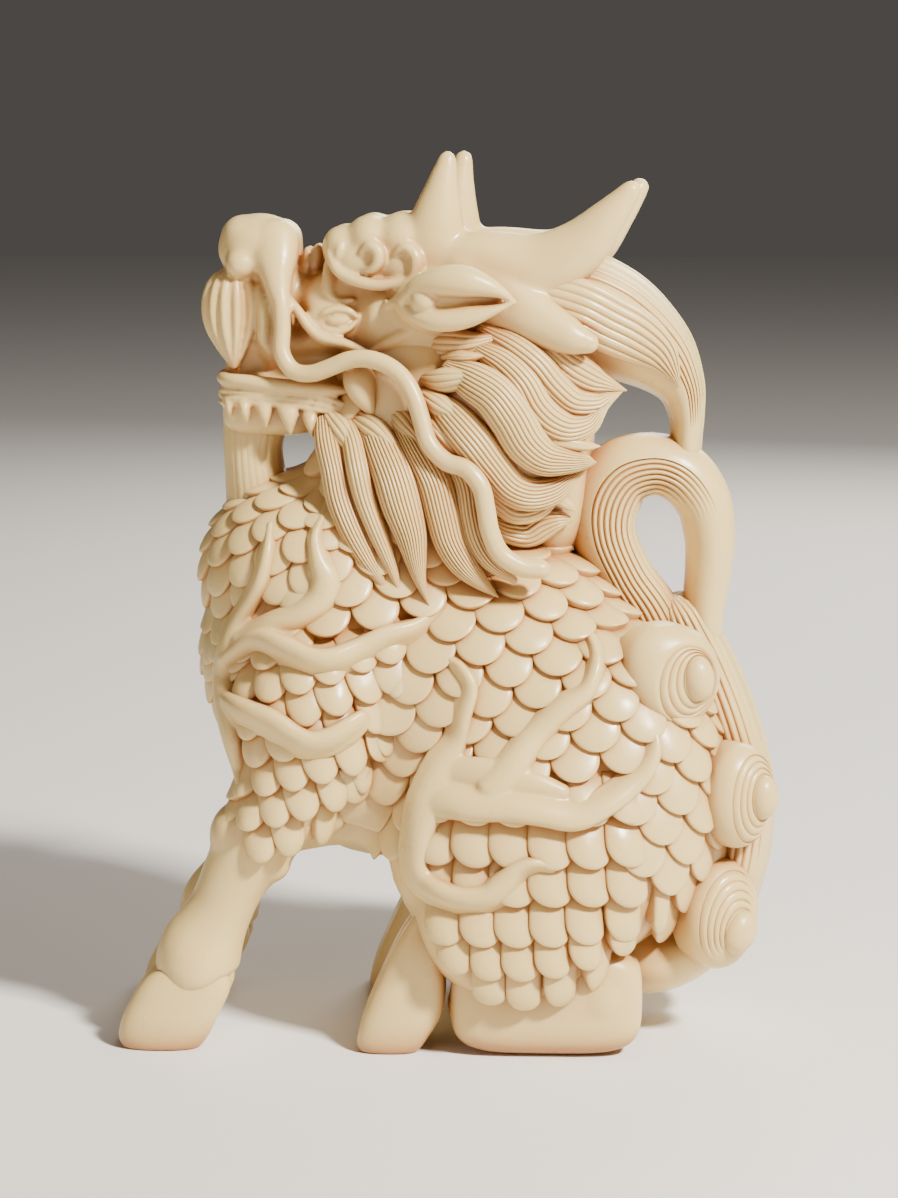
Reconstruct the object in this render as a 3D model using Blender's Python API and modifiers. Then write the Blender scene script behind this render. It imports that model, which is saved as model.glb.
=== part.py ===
"""A seated qilin, the hoofed dragon of Chinese ornament, carved from one block: flame scrolls at shoulder and
haunch, antlered head with long whiskers, mane, beard, and a tail that loops up behind the mane.

The figure looks along -X, with +Z up. Numbers are in millimetres on a figure 70 mm high, and the finished solid
is brought to metres, with the middle of its footprint at the origin."""

import math

import bmesh
import bpy
import numpy as np
from mathutils import Euler, Matrix, Vector
from mathutils.bvhtree import BVHTree

NAME = "carved_qilin"
HEIGHT = 70.0
MOST_TRIANGLES = 9600
MASS_VOXEL, MASS_SMOOTHING = 0.6, 6  # the soft masses under the carving
SCALE_COAT = 0.45  # what the scales add to the trunk, haunches and upper forelegs
SKIN_VOXEL, SKIN_SMOOTHING = 0.33, 1  # everything carved on them
FAR_HORN_BACK = 1.0  # how far the right horn stands behind the left one
FOOT_CUT = 0.25  # how much of each foot is planed off flat
NEAR = Vector((0, -1, 0))  # out of the figure's left flank
FAR_AWAY = 60.0  # where rays towards the body start
IVORY = (0.86, 0.76, 0.58, 1.0)


# ---------------------------------------------------------------- modelling tools


def object_of(mesh_or_bmesh, name="form"):
    mesh = mesh_or_bmesh
    if isinstance(mesh_or_bmesh, bmesh.types.BMesh):
        mesh = bpy.data.meshes.new(name)
        mesh_or_bmesh.to_mesh(mesh)
        mesh_or_bmesh.free()
    obj = bpy.data.objects.new(name, mesh)
    bpy.context.scene.collection.objects.link(obj)
    return obj


def curve_through(stations, steps):
    """Points on a Catmull-Rom curve through the stations, all their numbers together."""
    knots = np.array(stations, float)
    knots = np.vstack([2 * knots[0] - knots[1], knots, 2 * knots[-1] - knots[-2]])
    t = np.linspace(0, 1, steps, endpoint=False)[:, None]
    spans = [
        0.5 * (2 * b + (c - a) * t + (2 * a - 5 * b + 4 * c - d) * t**2 + (3 * b - a - 3 * c + d) * t**3)
        for a, b, c, d in zip(knots, knots[1:], knots[2:], knots[3:])
    ]
    return np.vstack([*spans, knots[-2:-1]])


def sweep(stations, out=NEAR, sides=12, steps=4, strands=0, groove=0.35):
    """A closed form through stations (x, y, z, half width, half depth), the depth measured along out.
    It is rounded over at both ends. With strands, its outward side is fluted lengthwise into that many."""
    path = curve_through(stations, steps)
    centres, half = path[:, :3], np.maximum(path[:, 3:], 0.15)
    along = np.gradient(centres, axis=0)
    along /= np.linalg.norm(along, axis=1)[:, None]
    across = np.cross(along, np.array(out, float))
    across /= np.linalg.norm(across, axis=1)[:, None]
    outward = np.cross(across, along)
    turn = np.linspace(0, 2 * math.pi, sides, endpoint=False)
    flute = np.zeros(sides)
    if strands:
        bump = np.abs(np.sin(math.pi * strands * (np.cos(turn) + 1) / 2))
        flute = np.where(np.sin(turn) > 0, groove * (bump - 1), 0)
    rings = []
    for end, sign in ((0, -1), (None, 0), (-1, 1)):
        if end is None:
            rings += [(c, 1.0, i) for i, c in enumerate(centres)]
            continue
        reach = half[end].min()
        bulges = [math.radians(a) for a in ((60, 30) if sign < 0 else (30, 60))]
        rings += [(centres[end] + sign * reach * math.sin(a) * along[end], math.cos(a), end) for a in bulges]
    form = bmesh.new()
    loops = []
    for centre, shrink, i in rings:
        wide, deep = half[i] * shrink
        ring = centre + np.outer(np.cos(turn) * wide, across[i])
        ring += np.outer(np.sin(turn) * deep + flute * min(1.0, deep) * shrink, outward[i])
        loops.append([form.verts.new(p) for p in ring])
    for low, high in zip(loops, loops[1:]):
        for k in range(sides):
            form.faces.new((low[k], low[k - 1], high[k - 1], high[k]))
    for loop, sign, end in ((loops[0], -1, 0), (loops[-1], 1, -1)):
        pole = form.verts.new(centres[end] + sign * half[end].min() * along[end])
        for k in range(sides):
            form.faces.new((loop[k - 1], loop[k], pole)[:: -sign])
    bmesh.ops.recalc_face_normals(form, faces=form.faces)
    return object_of(form)


def ball(centre, radii, pitch=0.0):
    """An ellipsoid, pitched about the Y axis by so many degrees."""
    form = bmesh.new()
    turned = Matrix.Translation(centre) @ Euler((0, math.radians(pitch), 0)).to_matrix().to_4x4()
    bmesh.ops.create_uvsphere(form, u_segments=20, v_segments=14, radius=1)
    form.transform(turned @ Matrix.Diagonal((*radii, 1)))
    return object_of(form)


def block(centre, half, rounding):
    """A box with all its edges rounded."""
    form = bmesh.new()
    bmesh.ops.create_cube(form, size=2)
    form.transform(Matrix.Translation(centre) @ Matrix.Diagonal((*half, 1)))
    bmesh.ops.bevel(form, geom=form.edges[:], offset=rounding, segments=3, profile=0.5, affect="EDGES")
    return object_of(form)


def stack(sections, sides=20):
    """A closed form lofted upwards through level ellipses (z, x, y, half length, half width)."""
    form = bmesh.new()
    loops = []
    for z, x, y, long, wide in sections:
        turns = (2 * math.pi * k / sides for k in range(sides))
        loops.append([form.verts.new((x + long * math.cos(a), y + wide * math.sin(a), z)) for a in turns])
    for low, high in zip(loops, loops[1:]):
        for k in range(sides):
            form.faces.new((low[k - 1], low[k], high[k], high[k - 1]))
    form.faces.new(loops[0][::-1])
    form.faces.new(loops[-1])
    bmesh.ops.recalc_face_normals(form, faces=form.faces)
    return object_of(form)


def reflected(forms):
    """Each form of the left flank becomes its mirror image on the right."""
    for obj in forms:
        obj.data.transform(Matrix.Diagonal((1, -1, 1, 1)))
        obj.data.flip_normals()
    return forms


def both_sides(forms):
    """The forms of the left flank, and their mirror images on the right."""
    return forms + reflected([object_of(obj.data.copy()) for obj in forms])


def evaluated(obj, *modifiers):
    """The object's mesh after these modifiers, each given as (type, settings). The object itself is used up."""
    for kind, settings in modifiers:
        modifier = obj.modifiers.new(kind.title(), kind)
        for setting, value in settings.items():
            setattr(modifier, setting, value)
    graph = bpy.context.evaluated_depsgraph_get()
    mesh = bpy.data.meshes.new_from_object(obj.evaluated_get(graph))
    bpy.data.objects.remove(obj)
    return mesh


def fused(forms, voxel, smoothing):
    """All the forms as one skin, their seams softened."""
    whole = bmesh.new()
    for obj in forms:
        whole.from_mesh(obj.data)
        bpy.data.objects.remove(obj)
    remesh = ("REMESH", {"mode": "VOXEL", "voxel_size": voxel, "adaptivity": 0.0})
    smooth = ("SMOOTH", {"factor": 0.5, "iterations": smoothing})
    return object_of(evaluated(object_of(whole), remesh, smooth))


def coated(obj, depth):
    """The same form with its whole surface moved outwards."""
    for vertex, normal in zip(obj.data.vertices, [n.vector.copy() for n in obj.data.vertex_normals]):
        vertex.co += normal * depth
    return obj


def surface_of(obj):
    graph = bpy.context.evaluated_depsgraph_get()
    return BVHTree.FromObject(obj, graph)


def on_flank(surface, stations, lift=0.0):
    """Stations (x, z, half width, half depth) laid on the left flank, lifted off it by a share of their depth."""
    laid = []
    for x, z, wide, deep in stations:
        hit, normal, _, _ = surface.ray_cast(Vector((x, -FAR_AWAY, z)), -NEAR)
        if hit is None:
            hit, normal, _, _ = surface.find_nearest(Vector((x, -FAR_AWAY / 6, z)))
        laid.append((*(hit + normal * lift * deep), wide, deep))
    return laid


# ---------------------------------------------------------------- the masses under the skin


def trunk():
    return [
        ball((-8.7, 0, 36.4), (9.8, 8.5, 7.8)),  # breast
        ball((-6.8, 0, 30), (11.7, 10, 11.5)),  # chest
        ball((-4, 0, 22), (10, 8.5, 8.5)),  # belly
        ball((3, 0, 27), (13.5, 10.5, 12.5)),  # barrel
        ball((11, 0, 17.5), (10.5, 10, 13)),  # rump
        sweep([(-4, 0, 33, 10, 8.5), (-3.5, 0, 40, 8, 7.5), (-2, 0, 47, 7.2, 6.8), (-1, 0, 52, 7, 6.5)]),
    ]


def haunch():
    return [ball((7.3, -7.9, 16.6), (11.6, 5.1, 11), 8)]


def upper_foreleg():
    return [
        ball((-9.6, -6.3, 26.5), (6.2, 5.2, 8.5), 12),
        sweep([(-9.2, -7.4, 25, 5.0, 4), (-11.5, -7.5, 20, 3.7, 3.6), (-13.9, -7.5, 16.6, 3.0, 2.9)]),
    ]


def lower_foreleg():
    return [
        sweep(
            [
                (-14.2, -7.5, 16.6, 3.1, 3.0),
                (-15.9, -7.5, 13.6, 2.5, 2.5),
                (-17.2, -7.4, 11.3, 2.15, 2.2),
                (-18.4, -7.3, 9.2, 2.4, 2.5),
                (-19.2, -7.2, 7.4, 2.9, 2.8),
            ]
        ),
        ball((-15.9, -7.8, 16.6), (1.8, 2.3, 2.2)),  # knee
        ball((-12.9, -7.6, 14.8), (1.8, 2.3, 1.9)),  # elbow side of the knee
        ball((-19.4, -7.2, 6.6), (3.2, 3.2, 2.1), -18),  # fetlock, which rolls over the hoof
    ]


def hind_foot():
    return [
        block((7.6, -9.5, 3.9), (7.8, 3.2, 3.9), 2.2),  # hock and cannon, flat on the ground
        sweep([(3, -9.5, 6.5, 3, 3), (12, -9.5, 6.5, 3.6, 3)]),
    ]


def skull():
    return [
        ball((-0.5, 0, 55.8), (8, 6.5, 6.5)),
        sweep([(-2, 0, 57, 4.4, 5.4), (-6.5, 0, 57.8, 3.6, 4.6), (-10.5, 0, 58.6, 2.9, 3.3), (-13.5, 0, 60, 2.6, 2.8)]),
        ball((3.0, 0, 48.5), (9.3, 8.6, 9.5)),  # what the mane grows on
        ball((9, 0, 52), (4.8, 6, 6)),
        ball((9, 0, 44), (4.5, 5.5, 6)),
    ]


# ---------------------------------------------------------------- what is carved on them


def hoof():
    return [
        stack(
            [
                (0, -22.4, -7.4, 3.3, 3.3),
                (2.5, -21.4, -7.3, 3.6, 3.4),
                (4.6, -20.5, -7.2, 3.4, 3.2),
                (5.6, -20, -7.2, 2.8, 2.6),
            ]
        )
    ]


def hind_hoof():
    return [
        stack(
            [
                (0, -4.4, -8.2, 2.5, 2.5),
                (2.6, -3.1, -8.3, 3.1, 2.8),
                (5.2, -2.4, -8.3, 3.0, 2.7),
                (7.8, -1.8, -8.4, 2.6, 2.4),
                (10, -1.2, -8.5, 1.8, 1.8),
            ]
        )
    ]


def nose():
    strands = []
    for angle in range(-100, 101, 25):
        turn = math.radians(angle)
        across = Vector((-math.cos(turn), math.sin(turn), 0))
        root = Vector((-16.3, 0, 60.0))
        bulge = root + across * 2.0 + Vector((0, 0, -2.0))
        middle = root + across * 1.9 + Vector((0, 0, -4.3))
        tip = root + across * 0.7 + Vector((0, 0, -7.0))
        strands.append(sweep([(*(root + across * 0.9), 0.7, 0.8), (*bulge, 0.75, 0.9), (*middle, 0.7, 0.8),
                              (*tip, 0.3, 0.4)], out=across, sides=8, steps=3))
    return strands + [
        ball((-15.2, 0, 61.6), (2.4, 3.4, 2.8)),
        ball((-13.8, 0, 61.8), (2.4, 3.1, 2.8)),
        ball((-16.2, 0, 57.2), (1.8, 1.8, 2.9)),
        ball((-13.6, 0, 57.6), (2.6, 2.9, 3.6)),  # the lip behind the tuft
        ball((-16.9, -2.0, 60.9), (1.3, 1.3, 1.0)),
        ball((-16.9, 2.0, 60.9), (1.3, 1.3, 1.0)),
    ]


def mouth():
    jaw = [(-15.2, 0, 50.7, 3.8, 2.3), (-12, 0, 50.4, 4.5, 2.4), (-7, 0, 50.5, 5.5, 2.3), (-2, 0, 51, 6.4, 2.6)]
    lip = [(-17.5, 0, 52.7), (-17.0, -2.4, 52.7), (-15.4, -3.8, 52.6), (-12, -4.6, 52.4), (-8, -5.5, 52.2), (-4, -6.3, 52)]
    upper = [(-15.6, 0, 54.2, 2.2, 1.5), (-12.5, 0, 54.6, 2.8, 1.5), (-9, 0, 55.4, 3.8, 1.6)]
    return [
        sweep(jaw, out=(0, 0, 1)),
        sweep(upper, out=(0, 0, 1)),
        *both_sides([sweep([(*p, 0.55, 0.55) for p in lip], out=(0, 0, 1), sides=8, steps=3)]),
        sweep([(-15.3, 0, 49.5, 2.4, 2.4), (-15.2, 0, 45.5, 2.15, 2.4), (-15.1, 0, 42, 2.3, 2.7), (-14.8, 0, 38, 3, 3)]),
        sweep([(-12.5, 0, 40, 2.5, 3), (-11, 0, 43, 2.2, 3), (-9, 0, 44.5, 2.2, 3)]),
    ]


def fringe():
    """Pointed tufts that hang from the edge of the jaw."""
    tufts = []
    for k in range(7):
        x, y = -16.2 + 1.75 * k, -3.4 - 0.38 * k
        tufts.append(sweep([(x - 0.2, y, 50.4, 0.85, 0.7), (x, y - 0.15, 49, 0.65, 0.6), (x + 0.15, y, 47.6, 0.15, 0.2)],
                           sides=8, steps=3))
    return tufts


def whisker():
    thick = 0.78
    route = [
        (-12.7, -4.4, 55.4),
        (-12.3, -4.8, 53.7),
        (-11.1, -5.1, 52.8),
        (-9.1, -5.5, 52.9),
        (-7.4, -6.0, 53.5),
        (-5.6, -6.5, 54.1),
        (-3.8, -7.1, 53.9),
        (-2.2, -7.6, 52.6),
        (-1.5, -8.0, 50.8),
        (-1.4, -8.3, 49.0),
        (-0.9, -8.6, 47.4),
        (0.6, -9.0, 46.1),
        (2.2, -9.3, 45.2),
        (3.2, -9.6, 43.3),
        (3.6, -9.9, 40.8),
        (4.6, -10.0, 38.8),
        (6.3, -10.0, 37.8),
        (8.0, -9.7, 37.9),
    ]
    root = [(-13.6, -2.2, 63.0, 2.0, 1.6), (-12.8, -3.2, 60.5, 1.5, 1.3), (-12.7, -4.0, 57.8, 0.95, 0.95)]
    growth = np.linspace(thick, 1.05, len(route))
    return [sweep(root + [(*p, g, g) for p, g in zip(route, growth)], sides=8, steps=3)]


def horn(back=0.0):
    """One horn of three prongs, with its root; the whole horn can be set further back along the head."""
    prongs = [
        sweep([(-1.2, -3.6, 60.2, 2.6, 2.2), (3, -4.2, 60.0, 3.0, 2.3), (7.2, -4.8, 60.0, 2.8, 2.2),
               (10.2, -5.4, 61.6, 2.2, 1.9), (12.6, -6, 64.1, 1.4, 1.4), (14.3, -6.3, 66.1, 0.75, 0.75)]),
        sweep([(-0.6, -3.8, 61.5, 2.5, 2.1), (-0.4, -4, 64.2, 2.0, 1.7), (0.0, -4, 66.6, 1.25, 1.2),
               (0.4, -4, 68.4, 0.65, 0.65)]),
        sweep([(2.5, -4.8, 59.4, 2.7, 2.2), (5.6, -5.6, 58.2, 2.4, 2.0), (8.4, -6.8, 56.7, 1.55, 1.4),
               (10.8, -7.5, 55.4, 0.85, 0.85)]),
    ]
    for prong in prongs:
        prong.data.transform(Matrix.Translation((back, 0, 0)))
    return prongs


def ear():
    return [
        sweep([(-3.0, -7.0, 58.5, 0.7, 0.9), (-2.0, -8.2, 60.0, 0.9, 0.9), (0.6, -9.2, 60.7, 1.0, 0.9),
               (3.2, -9.4, 60.1, 0.8, 0.8), (5.2, -9.2, 58.7, 0.35, 0.4)], sides=8),
        sweep([(-3.0, -7.0, 58.2, 0.6, 0.8), (-1.8, -8.2, 57.1, 0.7, 0.8), (0.2, -9.0, 56.8, 0.7, 0.8),
               (2.8, -9.3, 57.8, 0.6, 0.7), (5.1, -9.2, 58.6, 0.35, 0.4)], sides=8),
        ball((0.6, -8.2, 58.8), (3.4, 0.8, 1.8)),
        ball((-1.6, -8.1, 58.8), (0.9, 0.8, 0.9)),
    ]


def curl(centre, radius, thick, start, sweep_angle):
    """A hooked curl on the flank, which winds inwards."""
    turns = np.radians(np.linspace(start, start + sweep_angle, 7))
    shrink = np.linspace(1, 0.35, 7)
    x, y, z = centre
    path = [(x + radius * k * math.cos(a), y - 0.4 * (1 - k), z + radius * k * math.sin(a)) for a, k in zip(turns, shrink)]
    return sweep([(*p, thick, thick) for p in path], sides=8, steps=3)


def brow():
    return [
        ball((-7.9, -2.5, 62.0), (1.8, 2.3, 1.5)),
        ball((-5.3, -2.7, 62.6), (2.3, 2.6, 1.9)),
        ball((-2.9, -3.0, 62.4), (2.4, 2.6, 2.3)),
        ball((-5.6, -4.3, 60.9), (3.6, 1.7, 1.5)),
        ball((-8.0, -4.8, 61.0), (0.9, 0.9, 1.2)),
        curl((-5.5, -5.7, 61.4), 1.3, 0.62, 130, -290),
        curl((-2.7, -6.0, 61.5), 1.4, 0.65, 130, -290),
        curl((-4.0, -6.2, 58.6), 0.9, 0.5, 60, 260),
        ball((-6.6, -3.9, 58.4), (1.9, 1.3, 1.5)),  # eye
        ball((-5.4, -4.6, 55.8), (2.3, 1.6, 1.8)),  # cheek
        sweep([(-11.8, -3.2, 58, 0.5, 0.5), (-10.3, -3.9, 56.4, 0.5, 0.5), (-8.4, -4.6, 55.4, 0.5, 0.5),
               (-5.6, -5.6, 54.9, 0.4, 0.4)], sides=8),
    ]


def mane_back():
    return [
        sweep([(7, 0, 56.4, 4.4, 6.4), (11, 0, 56.2, 4.3, 6), (14.0, 0, 55.2, 3.6, 5), (16.4, 0, 53.0, 2.7, 4),
               (17.9, 0, 50.2, 1.7, 3), (18.4, 0, 47.8, 1.1, 2.2), (18.6, 0, 46.2, 0.8, 1.7)], strands=6, sides=20),
    ]


def tail_loop():
    return [
        sweep([(16.5, 0, 31.0, 3.1, 3.2), (14.2, 0, 34.8, 3.0, 3.4), (12.4, 0, 38.4, 2.7, 3.4),
               (12.0, 0, 41.6, 2.5, 3.4), (13.5, 0, 44.2, 2.4, 3.3), (16.2, 0, 45.4, 2.35, 3.2),
               (18.9, 0, 44.2, 2.3, 3.1), (20.4, 0, 41.2, 2.2, 3), (20.8, 0, 37.8, 2.0, 2.8),
               (20.5, 0, 34.6, 1.75, 2.6), (20.2, 0, 31.6, 1.5, 2.3)], strands=5, sides=20),
    ]


def tail_band():
    return [
        sweep([(12, 0, 7, 4.2, 6.5), (17.5, 0, 6.0, 3.2, 6.5), (21.2, 0, 8.8, 2.8, 6), (23.2, 0, 14, 2.6, 5.5),
               (23.5, 0, 19, 2.5, 5), (22.2, 0, 24, 2.4, 4.6), (20.6, 0, 28.5, 2.3, 4),
               (19, 0, 31.5, 2.2, 3.4)], sides=16),
    ]


def tail_curls():
    curls = []
    for centre, knob, pitch in (
        ((18.2, -3.6, 29.9), (19.8, -6.3, 30.4), 30),
        ((23.2, -3.2, 19.9), (24.6, -5.4, 19.4), 5),
        ((21.9, -3.8, 10.0), (22.8, -6.8, 9.2), -25),
    ):
        curls += [ball(centre, (3.1, 3.3, 4.1), pitch), ball(knob, (1.3, 1.2, 1.7), pitch)]
        curls.append(curl((knob[0], knob[1] + 0.5, knob[2]), 2.5, 0.55, 90 - pitch, 320))
    return curls


def scrolls(surface):
    """Flame scrolls, raised bands that hug the shoulder and the haunch."""
    shoulder = [
        [(-13.3, 40.3, 0.4, 0.6), (-14.2, 36.7, 0.8, 0.8), (-15.6, 33, 1.1, 1), (-16.4, 30, 1.4, 1.1),
         (-16.6, 27.3, 1.4, 1.1), (-16, 24.6, 1.0, 0.9), (-15.3, 22.7, 0.5, 0.6)],
        [(-15.8, 31, 1.2, 1), (-13.2, 32.2, 1.2, 1.1), (-10.4, 31.3, 1.2, 1.2), (-8, 31.2, 1.2, 1.2),
         (-5.7, 32.3, 1.1, 1.1), (-3.4, 32.9, 1.0, 1), (-1.3, 33.9, 0.7, 0.8), (-0.6, 35.1, 0.3, 0.5)],
        [(-15.8, 32.4, 1.2, 1), (-13.4, 34.1, 1.3, 1.1), (-11, 35.3, 1.6, 1.1), (-10, 36.6, 1.5, 1),
         (-9.9, 38.3, 0.9, 0.8), (-10.2, 40.2, 0.3, 0.5)],
        [(-16.4, 26.9, 1.1, 1), (-13.9, 27.3, 1.1, 1.1), (-12.2, 26.4, 1.1, 1.2), (-10.3, 25.8, 1.1, 1.2),
         (-8.8, 26.1, 1.0, 1.1), (-7.2, 27.2, 0.7, 0.8)],
    ]
    haunch = [
        [(0.6, 30.9, 0.4, 0.6), (2, 29.7, 0.8, 0.8), (2, 28.1, 0.9, 0.9), (1.4, 26, 1.0, 1), (1, 23.9, 1.2, 1.1),
         (-0.5, 21.6, 1.6, 1.3), (-2.5, 18.5, 1.6, 1.4), (-3.1, 15.4, 1.3, 1.4), (-2.6, 13.5, 1.1, 1.3),
         (-1, 12.6, 1.1, 1.3), (0.8, 12.3, 1.1, 1.3), (2.9, 12.8, 1.1, 1.3), (4.4, 14.2, 0.9, 1.2),
         (5.7, 15.5, 0.8, 1), (7, 16.2, 0.7, 0.9), (8.2, 15.9, 0.4, 0.6)],
        [(4.2, 21.6, 1.8, 1.2), (6.1, 24.7, 1.4, 1.2), (7.4, 26.4, 1.2, 1.1), (9, 27.6, 1.1, 1),
         (10.6, 28.5, 0.9, 0.9), (11.4, 30, 0.7, 0.8), (11.4, 31.4, 0.5, 0.6), (10.8, 33, 0.3, 0.5)],
        [(-1.8, 19, 1.6, 1.3), (-0.6, 20.3, 1.5, 1.4), (1.8, 21.2, 1.6, 1.5), (5.4, 20.9, 1.5, 1.5),
         (9.1, 20.1, 1.3, 1.4), (12, 20.7, 1.2, 1.3), (14.6, 22.1, 1.0, 1.1), (15.8, 23.9, 0.8, 0.9),
         (16, 26.2, 0.4, 0.6)],
    ]
    return [sweep(on_flank(surface, line, 0.3), sides=8, steps=3) for line in shoulder + haunch]


def beard(surface):
    locks = [
        [(-9.5, 49.5, 1.2, 1.2), (-9.6, 45.5, 1.5, 1.5), (-8.5, 42, 1.5, 1.5), (-6.2, 38.8, 1.1, 1.3), (-4.2, 36.6, 0.4, 0.7)],
        [(-6.8, 49, 1.4, 1.3), (-6.8, 45, 1.7, 1.7), (-5.5, 41.2, 1.6, 1.7), (-3.3, 38, 1.0, 1.4), (-2.3, 35.8, 0.4, 0.8)],
        [(-4, 48, 1.4, 1.3), (-3.8, 44, 1.7, 1.8), (-2.6, 40.3, 1.6, 1.8), (-0.8, 37.3, 1.1, 1.4), (0.3, 35.6, 0.4, 0.8)],
        [(-1.5, 45.5, 1.4, 1.4), (-0.9, 42, 1.8, 1.8), (0.4, 39, 1.6, 1.7), (2.6, 37, 1.0, 1.2), (4.4, 36.3, 0.4, 0.7)],
    ]
    return [sweep(on_flank(surface, line, 0.3), strands=3, sides=16, steps=3) for line in locks]


def mane(surface):
    cheek = [
        [(-2, 55.3, 1.0, 1), (1, 55.6, 1.1, 1), (4.3, 55.7, 0.3, 0.5)],
        [(-2.2, 53.2, 1.0, 1), (0.6, 53.0, 1.1, 1), (3.2, 52.8, 0.3, 0.5)],
        [(-2, 51, 0.9, 1), (-0.2, 50.3, 1.0, 1), (1.5, 49.3, 0.3, 0.5)],
    ]
    locks = [
        [(1.5, 55.6, 1.6, 1.4), (4.5, 54.6, 2.0, 1.8), (6.6, 51.8, 2.0, 1.9), (8.6, 49.0, 1.8, 1.6), (12.0, 47.8, 0.5, 0.8)],
        [(0.6, 53, 1.6, 1.4), (3.2, 51.2, 2.0, 1.8), (5.4, 48.3, 2.0, 1.9), (8, 46.2, 1.7, 1.6), (11.6, 46.2, 0.5, 0.8)],
        [(0.4, 50, 1.4, 1.4), (2.6, 48.2, 1.8, 1.8), (4.8, 45.4, 1.8, 1.8), (7.2, 43.4, 1.5, 1.5), (10, 43.2, 0.5, 0.8)],
        [(6, 57, 1.6, 1.4), (8.6, 55, 2.0, 1.7), (10.6, 52.6, 1.8, 1.6), (13.4, 51.8, 0.5, 0.8)],
        [(5.2, 43.6, 1.3, 1.3), (6.8, 41.4, 1.6, 1.5), (9.4, 41.0, 0.6, 0.9)],
        [(5.2, 41.2, 1.3, 1.3), (6.6, 39.4, 1.5, 1.5), (9, 38.8, 0.5, 0.9)],
    ]
    return [sweep(on_flank(surface, line, 0.6), sides=10, steps=3) for line in cheek] + [
        sweep(on_flank(surface, line, 0.3), strands=4, sides=20, steps=3) for line in locks
    ]


# ---------------------------------------------------------------- assembly


def planed_feet(obj):
    """Cuts the soles level, and sets them on the ground."""
    form = bmesh.new()
    form.from_mesh(obj.data)
    low = min(v.co.z for v in form.verts)
    geometry = form.verts[:] + form.edges[:] + form.faces[:]
    cut = bmesh.ops.bisect_plane(form, geom=geometry, plane_co=(0, 0, low + FOOT_CUT), plane_no=(0, 0, 1), clear_inner=True)
    rim = [e for e in cut["geom_cut"] if isinstance(e, bmesh.types.BMEdge)]
    bmesh.ops.contextual_create(form, geom=rim)
    bmesh.ops.holes_fill(form, edges=[e for e in form.edges if e.is_boundary])
    bmesh.ops.triangulate(form, faces=form.faces)
    form.to_mesh(obj.data)
    form.free()


def placed(obj):
    """Centres the footprint on the origin, and brings millimetres to metres."""
    corners = np.array([v.co for v in obj.data.vertices])
    low, high = corners.min(axis=0), corners.max(axis=0)
    middle = (low + high) / 2
    scale = HEIGHT / (high[2] - low[2]) / 1000
    obj.data.transform(Matrix.Scale(scale, 4) @ Matrix.Translation((-middle[0], -middle[1], -low[2])))


def ivory():
    material = bpy.data.materials.new("ivory")
    material.use_nodes = True
    shader = material.node_tree.nodes["Principled BSDF"]
    shader.inputs["Base Color"].default_value = IVORY
    shader.inputs["Roughness"].default_value = 0.38
    shader.inputs["Metallic"].default_value = 0.0
    return material


def main():
    for obj in list(bpy.data.objects):
        bpy.data.objects.remove(obj)
    scaled = fused(trunk() + both_sides(haunch() + upper_foreleg()), MASS_VOXEL, MASS_SMOOTHING)
    masses = [coated(scaled, SCALE_COAT)] + both_sides(lower_foreleg() + hind_foot()) + skull()
    body = fused(masses, MASS_VOXEL, 2)
    surface = surface_of(body)
    flank = hoof() + hind_hoof() + whisker() + ear() + brow() + tail_curls() + fringe()
    flank += scrolls(surface) + beard(surface) + mane(surface)
    carved = both_sides(flank) + horn() + reflected(horn(FAR_HORN_BACK)) + nose() + mouth()
    carved += mane_back() + tail_loop() + tail_band()
    skin = fused([body, *carved], SKIN_VOXEL, SKIN_SMOOTHING)
    triangles = 2 * len(skin.data.polygons)
    thin = ("DECIMATE", {"ratio": MOST_TRIANGLES / triangles})
    figure = object_of(evaluated(skin, thin), NAME)
    planed_feet(figure)
    placed(figure)
    figure.name = NAME
    figure.data.materials.append(ivory())
    figure.data.shade_smooth()
    collection = bpy.data.collections.new(NAME)
    bpy.context.scene.collection.children.link(collection)
    bpy.context.scene.collection.objects.unlink(figure)
    collection.objects.link(figure)


main()
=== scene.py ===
"""The looks of the carved qilin: one piece of polished ivory-coloured material, worked all over with scales,
flame scrolls and fluted hair.

Every form is made in the design's own millimetres, on a figure that looks along -X with +Z up, and is brought
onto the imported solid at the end. A form is a tuple (points, quads, triangles) of arrays."""

from math import cos, hypot, pi, radians, sin

import bpy
import numpy as np
from mathutils import Euler, Matrix, Vector
from mathutils.bvhtree import BVHTree


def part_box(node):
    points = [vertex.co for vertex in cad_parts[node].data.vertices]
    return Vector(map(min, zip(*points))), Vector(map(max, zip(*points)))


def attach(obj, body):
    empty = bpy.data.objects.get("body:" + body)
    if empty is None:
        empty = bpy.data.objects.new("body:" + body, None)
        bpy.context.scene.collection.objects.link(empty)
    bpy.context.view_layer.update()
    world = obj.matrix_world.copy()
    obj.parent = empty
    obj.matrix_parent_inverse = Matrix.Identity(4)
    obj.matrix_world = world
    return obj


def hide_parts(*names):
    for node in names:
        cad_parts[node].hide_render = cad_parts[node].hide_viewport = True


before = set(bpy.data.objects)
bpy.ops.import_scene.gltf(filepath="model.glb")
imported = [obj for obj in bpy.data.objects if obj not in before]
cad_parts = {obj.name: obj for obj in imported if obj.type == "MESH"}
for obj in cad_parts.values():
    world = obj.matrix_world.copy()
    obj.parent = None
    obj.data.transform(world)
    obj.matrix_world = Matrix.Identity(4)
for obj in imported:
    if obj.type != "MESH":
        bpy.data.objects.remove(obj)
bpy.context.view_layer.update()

NODE = "carved_qilin"
DESIGN_SOLE, DESIGN_TOP, DESIGN_MIDDLE = 0.25, 69.04, 0.39  # the solid's sole, top and middle in the design
NEAR = np.array((0.0, -1.0, 0.0))  # out of the figure's left flank
UP = np.array((0.0, 0.0, 1.0))
FAR_AWAY = 60.0  # where rays towards the body start
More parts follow.
